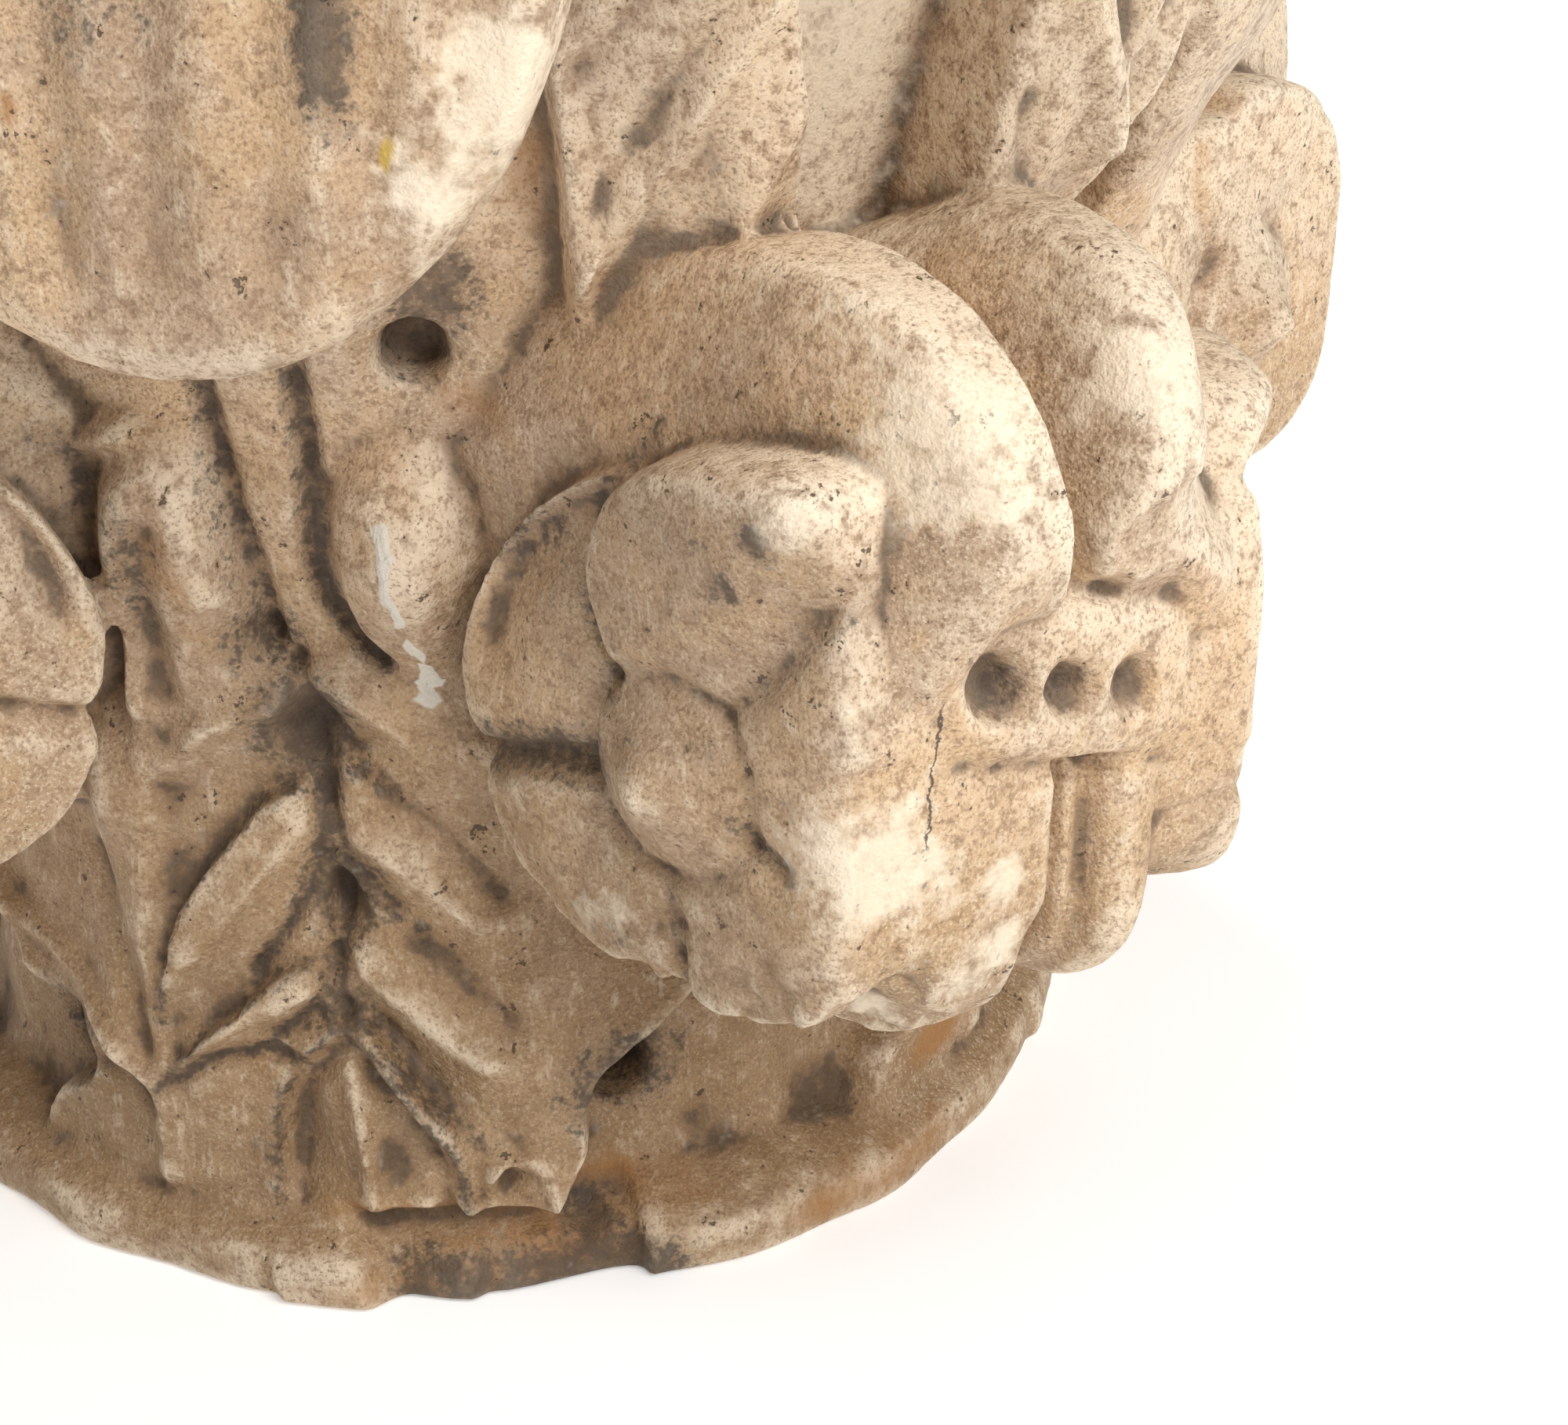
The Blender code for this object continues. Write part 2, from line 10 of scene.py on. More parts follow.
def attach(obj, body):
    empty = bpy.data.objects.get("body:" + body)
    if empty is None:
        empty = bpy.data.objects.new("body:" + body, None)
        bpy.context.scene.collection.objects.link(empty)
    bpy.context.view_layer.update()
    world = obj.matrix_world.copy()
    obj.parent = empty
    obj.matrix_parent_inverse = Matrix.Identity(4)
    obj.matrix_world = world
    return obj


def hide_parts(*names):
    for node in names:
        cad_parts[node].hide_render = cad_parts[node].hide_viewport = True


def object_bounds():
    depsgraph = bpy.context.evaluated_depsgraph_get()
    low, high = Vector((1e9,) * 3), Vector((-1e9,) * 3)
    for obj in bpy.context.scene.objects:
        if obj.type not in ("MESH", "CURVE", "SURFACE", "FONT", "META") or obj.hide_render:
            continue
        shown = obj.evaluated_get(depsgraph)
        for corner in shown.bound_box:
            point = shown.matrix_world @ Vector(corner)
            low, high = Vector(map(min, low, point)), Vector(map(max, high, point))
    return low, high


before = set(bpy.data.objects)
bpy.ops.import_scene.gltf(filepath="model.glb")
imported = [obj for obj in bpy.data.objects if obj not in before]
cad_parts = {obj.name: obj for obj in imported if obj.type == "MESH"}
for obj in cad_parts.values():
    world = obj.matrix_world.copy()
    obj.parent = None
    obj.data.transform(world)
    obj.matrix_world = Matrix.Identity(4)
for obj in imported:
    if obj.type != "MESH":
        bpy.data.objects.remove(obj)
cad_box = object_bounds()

# The bell with the lower leaves.
# The whole capital is one block of fine-grained marble, cut with point, claw and drill. Its drum
# widens upwards, and each face carries two leaves with drilled eyes where their leaflets meet.
BED_RADIUS = 0.130                 # metres; every length below is in bed radii
PER_DEGREE = 0.0157                # sideways length of a degree on the leaves
BELL_Z = (0.00, 0.02, 0.05, 0.08, 0.11, 0.14, 0.20, 0.30, 0.45, 0.60, 0.90, 1.08, 1.24, 1.40,
          1.54, 1.80, 2.10, 2.36, 2.45)
BELL_R = (1.005, 1.012, 1.015, 1.005, 0.955, 0.922, 0.905, 0.905, 0.89, 0.865, 0.845, 0.850, 0.905, 0.945,
          0.985, 1.03, 1.09, 1.19, 1.20)
BELL_TOP = 2.42                    # inside the slab


def line(*places):
    """A line on the bell, from pairs of degrees and height."""
    return [(a * PER_DEGREE, z) for a, z in places]


LEFT_RIB = line((-15, .14), (-15.7, .33), (-16, .5), (-16.6, .62), (-16.1, .74), (-15.7, .85), (-15, 1.0),
                (-14, 1.12))
RIGHT_RIB = line((20.5, .15), (21.5, .4), (21, .7), (18, .9), (14, 1.08))
JOIN = line((-.3, 1.03), (1.0, .93), (2.4, .80), (2.3, .70), (2.6, .56), (3, .48))
# Leaflet edges that lie over their neighbours, veins and creases. The leaflets themselves are long
# pillows, given by both ends and a width.
LEFT_LIPS = (line((1.8, .86), (-4, .81), (-7.5, .74), (-10, .69), (-13, .61), (-14.3, .52), (-15.2, .42)),
             line((1.6, .565), (-3, .53), (-5, .505), (-7, .47), (-10, .425), (-13, .37), (-15.4, .30)))
VEINS = (line((-14, .84), (-9, .92), (-3, .96)), line((-13.5, .50), (-8, .62), (-2, .74)),
         line((-38, .40), (-30, .40), (-24, .40), (-19, .35), (-16, .31)),
         line((4, .99), (9, .93), (14, .84)), line((4.5, .76), (10, .71), (16, .62)),
         line((4.5, .55), (10, .48), (16, .40)))
CREASES = (line((-15.2, .31), (-10, .375), (-5, .395), (-2, .375)),
           line((1.5, .84), (1.0, .72), (-.5, .655), (-2.5, .60), (-6, .52)),
           line((1.8, .56), (1.0, .50), (-1.5, .445), (-4, .42)))
RIGHT_LIPS = (line((8.8, .815), (4, .885), (1.2, .935), (-.3, 1.03)),
              line((10.5, .59), (8, .63), (5, .67), (2.6, .72), (2.3, .82)),
              line((15.5, .26), (14, .29), (10, .355), (7, .42), (3.8, .49), (2.8, .58)))
PILLOWS = (((-13, .86), (-1.5, .98), .070), ((-12, .57), (-1, .78), .070), ((-12, .40), (-1, .50), .040),
           ((17, .90), (3, 1.0), .080), ((17, .62), (4.5, .78), .085), ((17, .40), (5, .57), .080),
           ((16, .22), (7, .40), .050))
# The outline of the small leaf at the foot, and the drilled eyes: degrees, height, half width, half
# height and depth.
TONGUE = line((-4.0, .13), (-4.6, .2), (-4, .3), (-2.5, .36), (0, .415), (3, .455), (6, .42), (9.5, .35),
              (12, .28), (13.6, .2), (14, .13))
EYES = ((0.3, .925, .062, .090, .055), (3.0, .655, .050, .072, .050), (3.1, .475, .032, .045, .036))
# The furrows on both sides of the stem that rises between the leaf tips.
STEM_LEFT = line((-5, 1.52), (-4.6, 1.40), (-4.0, 1.28), (-2.9, 1.14), (-2.5, 1.06))
STEM_RIGHT = line((3.2, 1.56), (3.2, 1.42), (3.1, 1.3), (2.8, 1.2), (3.8, 1.13), (6, 1.08), (8.2, 1.045))
RIGHT_FURROWS = (line((7, .62), (12, .545), (19, .46)), line((7, .84), (13, .76), (18, .67)))
# The plain fields about the low holes: edge, side, where they start (degrees), top, depth, and the
# distance and softness of the crest along the edge.
FIELDS = (
    (line((22, .13), (25.2, .22), (25.6, .30), (27, .345), (30, .385), (35, .435), (48, .58)),
     1.0, 20.0, 0.75, 0.052, 0.016, 0.020),
    (line((-48, .59), (-43, .505), (-36, .385), (-30, .352), (-25.2, .322), (-24.4, .29), (-26, .25),
          (-31, .20), (-33, .12)),
     -1.0, 22.0, 0.70, 0.050, 0.012, 0.018),
)
# Rounded bands and sharp crests over the leaves: height (cut in where it is negative), width, line.
BANDS = (
    (0.020, 0.032, line((-40, .47), (-30, .455), (-25, .425), (-20, .37), (-17, .33))),
    (-0.020, 0.030, line((-23, .31), (-19.5, .30), (-17, .26))),
    (-0.020, 0.045, line((-24, .66), (-21, .56), (-18, .44), (-16.8, .34))),
    (0.026, 0.105, line((-19.2, .35), (-18.8, .70), (-16.8, .95))),
    (0.022, 0.055, line((-15, .95), (-14.2, 1.15), (-12.4, 1.30), (-9.5, 1.36), (-7.0, 1.30), (-5.4, 1.16))),
    (-0.024, 0.045, line((-13.0, .98), (-12.2, 1.14), (-10.8, 1.25))),
    (0.034, 0.042, line((-25, 1.50), (-21, 1.41), (-17, 1.36), (-12, 1.40))),
    (-0.034, 0.034, STEM_LEFT),
    (-0.036, 0.028, STEM_RIGHT),
)
CRESTS = (
    (-0.026, 0.018, line((4.8, 1.34), (4.3, 1.22), (5.6, 1.12))),
    # Loops left of a broken edge at the foot of the right leaf.
    (0.024, 0.018, line((15.8, .15), (16.0, .21), (17.3, .245), (18.8, .225), (19.6, .235), (21.2, .215),
                        (21.9, .15))),
    (0.018, 0.022, line((10.8, .215), (12.2, .19), (13.3, .165), (14.4, .135))),
)
# Round swellings and hollows: height, degrees, height above the bed, half width, half height. The
# curled leaf tips are swellings with steep sides.
SWELLINGS = ((0.045, -20.5, .84, .085, .20), (-0.070, -20.5, 1.29, .08, .10),
             (-0.040, -3.4, 1.075, .045, .045), (-0.020, -1.0, 1.04, .06, .03), (0.024, 0.0, 1.75, .30, .35),
             (-0.034, 17.6, .195, .030, .045))
CURLED_TIPS = ((0.070, -10.2, 1.15, .120, .29), (0.100, 11.3, 1.22, .118, .205))
# Drilled holes, two at the foot of each corner and two beside the stem of each centre leaf: degrees
# from the middle of the face, height, radius, depth.
DRILLED_HOLES = ((29.7, .31, .060, .10), (12.6, 1.54, .048, .075))


def smooth(edge0, edge1, x):
    """0 before edge0, 1 after edge1, with soft ends."""
    t = np.clip((x - edge0) / (edge1 - edge0), 0.0, 1.0)
    return t * t * (3.0 - 2.0 * t)


def spot(x, y, cx, cy, rx, ry):
    """Round spot: 1 at its centre, 0 outside the ellipse."""
    return 1.0 - smooth(0.0, 1.0, np.hypot((x - cx) / rx, (y - cy) / ry))


def swell(x, centre, width):
    """A swelling across x: 1 at its centre, nearly 0 at twice its width."""
    return np.exp(-(((x - centre) / width) ** 2))


def off_line(x, y, track):
    """Distance to a line through places, positive on its left and negative on its right."""
    best, side = np.full(np.shape(x), 1e9), np.ones(np.shape(x))
    for (x0, y0), (x1, y1) in zip(track[:-1], track[1:]):
        dx, dy = x1 - x0, y1 - y0
        t = np.clip(((x - x0) * dx + (y - y0) * dy) / (dx * dx + dy * dy), 0.0, 1.0)
        d = np.hypot(x - x0 - t * dx, y - y0 - t * dy)
        turn = dx * (y - y0) - dy * (x - x0)
        side = np.where(d < best, np.where(turn >= 0.0, 1.0, -1.0), side)
        best = np.minimum(best, d)
    return best * side


def mark(x, y, track, width):
    """Rounded band along a line: 1 on it, 0 at width from it."""
    return 1.0 - smooth(0.0, 1.0, np.abs(off_line(x, y, track)) / width)


def ridge(x, y, track, width):
    """Sharp-crested band along a line."""
    return np.clip(1.0 - np.abs(off_line(x, y, track)) / width, 0.0, 1.0) ** 1.3


def lip(x, y, track, reach):
    """An edge that stands up on the left of a line and is undercut on its right."""
    d = off_line(x, y, track)
    (x0, y0), (x1, y1) = track[0], track[-1]
    to_end = np.minimum(np.hypot(x - x0, y - y0), np.hypot(x - x1, y - y1))
    raised = np.exp(-np.abs(d) / reach)
    undercut = -0.45 * np.exp(-np.abs(d) / (0.5 * reach))
    return smooth(0.0, 0.09, to_end) * np.where(d >= 0.0, raised, undercut)


def polar(radius, azimuth, z):
    """Places from a radius, degrees from -Y toward +X, and a height."""
    a = np.radians(azimuth)
    return np.stack([radius * np.sin(a), -radius * np.cos(a), z + 0.0 * a], axis=-1)


def leaf_tier(a, z, worn):
    """Height of the carving over the bell on one face, at a degrees from its centre."""
    x = a * PER_DEGREE
    inside = smooth(0.10, 0.16, z) * (1.0 - smooth(1.30, 1.42, z))
    left = mark(x, z, line((-17, .1), (-16.5, .7), (-14, 1.15)), 0.36)
    right = mark(x, z, line((21, .1), (20, .7), (13, 1.15)), 0.36)
    h = 0.034 * inside * np.maximum(left, right)
    h += 0.020 * ridge(x, z, LEFT_RIB, 0.034) + 0.010 * mark(x, z, RIGHT_RIB, 0.070)
    for start, end, wide in PILLOWS:
        h += 0.022 * mark(x, z, line(start, end), wide)
    for vein in VEINS:
        h += 0.013 * ridge(x, z, vein, 0.026)
    for crease in CREASES:
        h -= 0.026 * ridge(x, z, crease, 0.024)
    for edge in LEFT_LIPS + RIGHT_LIPS:
        h += 0.036 * lip(x, z, edge, 0.045)
    h -= 0.024 * ridge(x, z, JOIN, 0.026)
    for furrow in RIGHT_FURROWS:
        h -= 0.012 * mark(x, z, furrow, 0.035)
    # The drilled eyes are three-cornered, wide below and pointed above.
    for eye_a, eye_z, wide, high, deep in EYES:
        narrow = np.clip(1.0 - 0.62 * (z - eye_z) / high, 0.15, 1.6)
        h -= deep * worn * spot(x, z, eye_a * PER_DEGREE, eye_z, wide * narrow, high)
    # The small tongue leaf is hollowed along its middle, beside a sharp rib.
    d = off_line(x, z, TONGUE)
    above_foot = smooth(0.12, 0.15, z)
    h = np.where((d < 0.0) & (z < 0.47), h - 0.010 + 0.034 * (1.0 - np.exp(d / 0.05)), h)
    h += above_foot * 0.024 * np.exp(-np.abs(d) / 0.014)
    h -= above_foot * 0.024 * swell(d, -0.030, 0.013) * (z < 0.46)
    h -= above_foot * 0.018 * swell(d, 0.028, 0.012) * (z < 0.47) * (x > 0.0)
    h += 0.022 * ridge(x, z, line((3.5, .40), (4.3, .28), (5.2, .14)), 0.026)
    h -= 0.034 * spot(x, z, -1.4 * PER_DEGREE, .25, .060, .15)
    h -= 0.016 * spot(x, z, 8.0 * PER_DEGREE, .24, .050, .10)
    # The plain fields lie deeper than the leaf edges, which are cut sharply.
    lower = smooth(0.10, 0.15, z)
    inner = smooth(44.5, 41.0, np.abs(a)) * lower
    for track, hand, begin, top, deep, crest, softness in FIELDS:
        edge = off_line(x, z, track)
        within = (hand * a > begin) & (z < top)
        field = np.where(within, smooth(0.004, -0.016, edge), 0.0)
        h = h * (1.0 - field) - deep * lower * field
        h += 0.018 * inner * np.where(within, np.exp(-np.abs(edge - crest) / softness), 0.0)
    for rise, width, track in BANDS:
        h += rise * mark(x, z, track, width)
    for rise, width, track in CRESTS:
        h += rise * ridge(x, z, track, width)
    for rise, at, up, wide, high in SWELLINGS:
        h += rise * spot(x, z, at * PER_DEGREE, up, wide, high)
    for rise, at, up, wide, high in CURLED_TIPS:
        h += rise * np.sqrt(spot(x, z, at * PER_DEGREE, up, wide, high))
    return h


def base_ring(azimuth, z):
    """Wear and breaks of the ring at the foot, by which it stands back from its round."""
    full = azimuth % 360.0
    ring = 1.0 - smooth(0.10, 0.155, z)
    rough = (np.sin(np.radians(full * 7.0)) * np.sin(np.radians(full * 11.0 + 40.0))
             + 0.5 * np.sin(np.radians(full * 23.0 + 90.0) + 9.0 * z))
    # A long piece has broken away from about 5 to 30 degrees, and a thin flake up to 40.
    broken = smooth(3.5, 7.0, full + 30.0 * (z - 0.05)) * (1.0 - smooth(29.6, 30.4, full))
    flaked = smooth(30.0, 30.8, full) * (1.0 - smooth(36.0, 46.0, full))
    wavy = 0.012 * np.sin(np.radians(full * 17.0))
    notch = 0.030 * spot(full, z, 25.5, 0.085, 2.5, 0.03)
    back = 0.008 * (1.0 + rough) * (1.0 - broken)
    back = back + broken * (0.050 + wavy + 0.030 * smooth(0.02, 0.12, z) + notch)
    return ring * (back + flaked * 0.016)


def bell_radius(azimuth, z):
    """Radius of the bell with its carving."""
    face = np.round(azimuth / 90.0) % 4
    a = (azimuth + 45.0) % 90.0 - 45.0
    # Each face was cut by eye, a little apart from its neighbour.
    sway = np.where(face == 0, 0.0, 0.8 * np.sin(3.0 * z + 2.0 * face))
    r = np.interp(z, BELL_Z, BELL_R) + leaf_tier(a + sway, z, np.where(face == 0, 1.0, 0.8))
    from_corner = 45.0 - np.abs(a)
    low_down = smooth(0.06, 0.12, z) * (1.0 - smooth(0.5, 0.8, z))
    r = r + 0.018 * (1.0 - smooth(0.0, 7.0, from_corner)) * low_down
    r = r - base_ring(azimuth, z)
    x = a * PER_DEGREE
    for hole, hole_z, size, deep in DRILLED_HOLES:
        for hand in (-1.0, 1.0):
            d = np.hypot((x - hand * hole * PER_DEGREE) * 1.02, z - hole_z)
            drilled = deep * (1.0 - smooth(0.72 * size, 1.08 * size, d))
            r = r - drilled - 0.012 * (1.0 - smooth(size, 1.8 * size, d))
    return r


def bell(u, v):
    """Around the drum with a finer net on the front face, from the bed to the closed top."""
    azimuth = np.interp(u, (0.0, 0.52, 1.0), (-46.0, 46.0, 314.0))
    z = np.interp(v, (0.0, 0.03, 0.82, 0.97, 1.0), (0.0, 0.0, 1.66, BELL_TOP, BELL_TOP))
    cap = np.interp(v, (0.0, 0.03, 0.97, 1.0), (0.0, 1.0, 1.0, 0.0))
    return polar(bell_radius(azimuth, z) * cap, azimuth, z)


forms = []


def lay(name, columns, rows, place):
    """A closed skin: place takes u around the form and v from end to end, both 0 to 1."""
    bm = bmesh.new()
    bmesh.ops.create_grid(bm, x_segments=columns, y_segments=rows, size=1.0)
    mesh = bpy.data.meshes.new(name)
    bm.to_mesh(mesh)
    bm.free()
    flat = np.empty(len(mesh.vertices) * 3)
    mesh.vertices.foreach_get("co", flat)
    flat = flat.reshape(-1, 3)
    shaped = place((flat[:, 0] + 1.0) / 2.0, (flat[:, 1] + 1.0) / 2.0) * BED_RADIUS
    mesh.vertices.foreach_set("co", shaped.ravel())
    mesh.update()
    forms.append(mesh)


lay("bell", 430, 330, bell)

# The corner scrolls.
# A heavy two-ridged scroll rolls out at each corner and is bound in front by a
# drilled strap. Under the strap its stalks hang down as rounded reeds.
CORNERS = (45.0, 135.0, 225.0, 315.0)  # degrees from -Y toward +X
NEAR_CORNER = 45.0
STRAP_SLANT = 0.24                 # the straps hang lower on their right
# Rows of the middle valley (out, up), the ridge (out, up, side) and the outer
# shoulder (out, up, side), from the root over the top and back underneath.
SCROLL = (
    (0.60, 1.40, 0.60, 1.42, 0.42, 0.60, 1.30, 0.48),
    (0.85, 1.56, 0.85, 1.54, 0.37, 0.85, 1.40, 0.46),
    (1.00, 1.64, 1.00, 1.665, 0.29, 0.97, 1.47, 0.43),
    (1.12, 1.63, 1.12, 1.72, 0.23, 1.09, 1.49, 0.40),
    (1.22, 1.60, 1.22, 1.748, 0.20, 1.20, 1.50, 0.38),
    (1.31, 1.56, 1.34, 1.757, 0.19, 1.30, 1.49, 0.365),
    (1.40, 1.50, 1.46, 1.74, 0.185, 1.40, 1.455, 0.345),
    (1.47, 1.45, 1.55, 1.69, 0.17, 1.48, 1.40, 0.32),
    (1.52, 1.40, 1.62, 1.60, 0.145, 1.54, 1.34, 0.29),
    (1.545, 1.35, 1.655, 1.49, 0.115, 1.575, 1.29, 0.26),
    (1.55, 1.32, 1.63, 1.38, 0.11, 1.575, 1.25, 0.23),
    (1.55, 1.29, 1.57, 1.30, 0.12, 1.555, 1.20, 0.205),
    (1.535, 1.08, 1.57, 1.08, 0.115, 1.54, 1.08, 0.20),
    (1.515, 0.98, 1.58, 0.98, 0.11, 1.53, 0.98, 0.20),
    (1.50, 0.88, 1.57, 0.87, 0.105, 1.52, 0.88, 0.195),
    (1.46, 0.78, 1.535, 0.765, 0.10, 1.47, 0.79, 0.185),
    (1.36, 0.71, 1.43, 0.69, 0.105, 1.34, 0.725, 0.20),
    (1.18, 0.71, 1.20, 0.685, 0.13, 1.18, 0.73, 0.26),
    (0.98, 0.72, 0.98, 0.71, 0.16, 0.98, 0.75, 0.30),
    (0.78, 0.72, 0.78, 0.72, 0.20, 0.78, 0.76, 0.34),
    (0.58, 0.78, 0.58, 0.78, 0.30, 0.58, 0.86, 0.42),
    (0.50, 1.10, 0.50, 1.10, 0.36, 0.50, 1.10, 0.46),
    (0.60, 1.40, 0.60, 1.42, 0.42, 0.60, 1.30, 0.48),
)
# The three drilled bowls of a strap, worn shallower to the right: side, height, radius, depth.
BOWLS = ((-.128, 1.225, .054, .058), (-.024, 1.222, .044, .046), (.088, 1.222, .045, .038))
STRAP_SECTION = (  # share of the way round, outward, height
    (0.00, 1.40, 1.120), (0.12, 1.565, 1.112), (0.16, 1.586, 1.124), (0.22, 1.597, 1.150),
    (0.50, 1.600, 1.23), (0.78, 1.597, 1.312), (0.84, 1.586, 1.338), (0.88, 1.565, 1.346),
    (0.96, 1.40, 1.335), (1.00, 1.40, 1.120),
)
# The ragged edge above the strap from which a flake of the near scroll is lost: side, height.
FLAKE_EDGE = ((.02, 1.47), (.05, 1.50), (.075, 1.49), (.10, 1.53), (.14, 1.50), (.20, 1.52))


def corner_place(corner, out, side, z):
    """A place given outward and sideways from the axis, along one corner or face."""
    a = math.radians(corner)
    return np.stack([out * math.sin(a) + side * math.cos(a),
                     -out * math.cos(a) + side * math.sin(a), z + 0.0 * out], axis=-1)


def through(points, t):
    """Smooth curve through rows of numbers; t runs from 0 to 1 along it."""
    p = np.array(points, dtype=float)
    p = np.vstack([2 * p[0] - p[1], p, 2 * p[-1] - p[-2]])
    at = np.clip(t, 0.0, 1.0) * (len(p) - 3)
    first = np.minimum(at.astype(int), len(p) - 4)
    f = (at - first)[:, None]
    a, b, c, d = (p[first + k] for k in range(4))
    bend = (2 * a - 5 * b + 4 * c - d) * f * f
    return 0.5 * (2 * b + (c - a) * f + bend + (3 * b - a - 3 * c + d) * f ** 3)


def strap_holes(side, up):
    """Depth of the drilled bowls, with up measured on the slant of the strap."""
    deep = np.zeros(np.shape(side))
    for hole, high, size, depth in BOWLS:
        d = np.hypot(side - hole, (up - high) * 0.9) / size
        deep += depth * np.clip(1.0 - d * d, 0.0, 1.0) ** 1.1
    return deep


def reeds(side, up):
    """How far the stalks under a strap stand back: a broad lobe, a thin reed and a thick reed."""
    lobe = np.where(side < -0.03, 0.0, 22.0 * np.clip(side + 0.03, 0.0, 0.05) ** 2)
    thin = 0.034 + 30.0 * (side - 0.042) ** 2
    thick = 0.062 - 0.072 * np.sqrt(np.clip(1.0 - ((side - 0.124) / 0.062) ** 2, 0.0, 1.0))
    back = np.where(side < 0.021, lobe, np.where(side < 0.063, np.minimum(thin, 0.055), thick))
    back = back + 0.050 * swell(side, 0.020, 0.008) + 0.020 * swell(side, 0.062, 0.008)
    return smooth(1.16, 1.10, up) * smooth(0.60, 0.72, up) * back


def scroll(corner):
    """One scroll: u runs around its length, v across it, with closed ends inside the block."""
    def place(u, v):
        valley_out, valley_up, ridge_out, ridge_up, ridge_side, flank_out, flank_up, flank_side = \
            through(SCROLL, u).T
        w = np.clip((v - 0.5) * 4.4, -2.0, 2.0)
        end = np.clip((np.abs(v - 0.5) - 0.4545) / 0.0455, 0.0, 1.0)
        size = np.abs(w)
        to_ridge = smooth(0.06, 0.62, size)
        out = valley_out + (ridge_out - valley_out) * to_ridge
        up = valley_up + (ridge_up - valley_up) * to_ridge
        side = ridge_side * np.minimum(size, 1.0)
        # From the ridge the top bends over into a steep flank.
        past = np.clip(size - 1.0, 0.0, 1.0)
        drop = 0.05 * np.logaddexp(0.0, (past - 0.42) / 0.05) / 0.58
        out, up = out + (flank_out - ridge_out) * drop, up + (flank_up - ridge_up) * drop
        side = side + (flank_side - ridge_side) * past
        out, up, side = out + (1.05 - out) * end, up + (1.12 - up) * end, side + (0.40 - side) * end
        side = np.copysign(side, w)
        if corner == NEAR_CORNER:
            # The near scroll is worn lopsided: its valley lies left of the middle, its right ridge is nearer.
            over = smooth(1.30, 1.45, up) * (out > 1.0)
            moved = np.interp(w, (-2.0, -1.0, 0.0, 1.0, 1.5, 2.0), (0.0, 0.0, -.040, -.066, -.060, -.030))
            side = side + over * moved
            rounder = np.sin(0.5 * math.pi * np.clip(w, 0.0, 1.0))
            rise = np.where((w > 0.0) & (w < 1.0), rounder - to_ridge, 0.0)
            out, up = out + over * rise * (ridge_out - valley_out), up + over * rise * (ridge_up - valley_up)
            # Its stalk widens on the left, under the flower.
            widened = smooth(-1.0, -1.6, w) * smooth(1.14, 1.06, up) * smooth(1.1, 1.3, out) * (up > 0.6)
            side = side - 0.055 * widened
        slanted = up + STRAP_SLANT * side
        out = out - strap_holes(side, slanted) * (out > 1.4)
        # Below the strap the front is flat, parted into reeds, with a groove under the strap's edge.
        front = smooth(1.16, 1.10, up) * smooth(1.38, 1.45, out) * smooth(0.78, 0.90, up)
        out = out + (1.566 - out) * front * (np.abs(side) < 0.27)
        out = out - reeds(side, up) * smooth(1.20, 1.38, out)
        out = out - 0.016 * swell(slanted, 1.098, 0.013) * (out > 1.4)
        if corner == NEAR_CORNER:
            # A flake and a pit above its strap.
            edge = off_line(side, up, FLAKE_EDGE)
            flake = smooth(0.0, -0.025, edge) * smooth(0.0, 0.03, side) * (out > 1.3)
            pit = spot(side, up, .035, 1.33, .040, .060) * (out > 1.3)
            out = out - 0.026 * flake * smooth(1.32, 1.44, up) - 0.060 * pit
        return corner_place(corner, out, side, up)
    return place


def strap(corner):
    """One strap: u runs around its section, v along it."""
    def place(u, v):
        stops, outward, height = zip(*STRAP_SECTION)
        out, up = np.interp(u, stops, outward), np.interp(u, stops, height)
        side = np.interp(v, (0.0, 0.04, 0.96, 1.0), (-0.215, -0.215, 0.215, 0.215))
        end = np.interp(v, (0.0, 0.04, 0.96, 1.0), (1.0, 0.0, 0.0, 1.0))
        out = out - 0.6 * side * side - 0.020 * smooth(0.19, 0.215, np.abs(side)) * (out > 1.5)
        out = out - strap_holes(side, up) * (out > 1.5)
        up = up - STRAP_SLANT * side
        out, up = out + (1.45 - out) * end, up + (1.23 - up) * end
        return corner_place(corner, out, side, up)
    return place


for corner in CORNERS:
    lay("scroll", 260, 220, scroll(corner))
    lay("strap", 150, 130, strap(corner))

# The flowers.
# Two thick flowers of five petals are bound to the sides of each scroll. The
# petals are parted by chased grooves around a coned boss.
FLOWER_CENTRE = (1.26, 0.415, 1.105)
FLOWER_RADIUS = 0.405
FLOWER_THICKNESS = 0.22
FLOWER_TOE_IN = math.radians(13.0)
NEAR_FLOWER = (NEAR_CORNER, -1)
FAR_FLOWER = (135.0, -1)           # at the right edge of the picture, seen from its side
# Shift outward, sideways and up, and how far the upper outer petal has grown.
FLOWER_SHIFTS = {
    NEAR_FLOWER: (0.0, 0.0, 0.0, 1.0),
    (NEAR_CORNER, 1): (0.00, -0.015, 0.02, 0.3),
    FAR_FLOWER: (0.03, 0.050, 0.045, 0.0),
    (315.0, 1): (-0.01, 0.025, 0.00, 0.2),
}
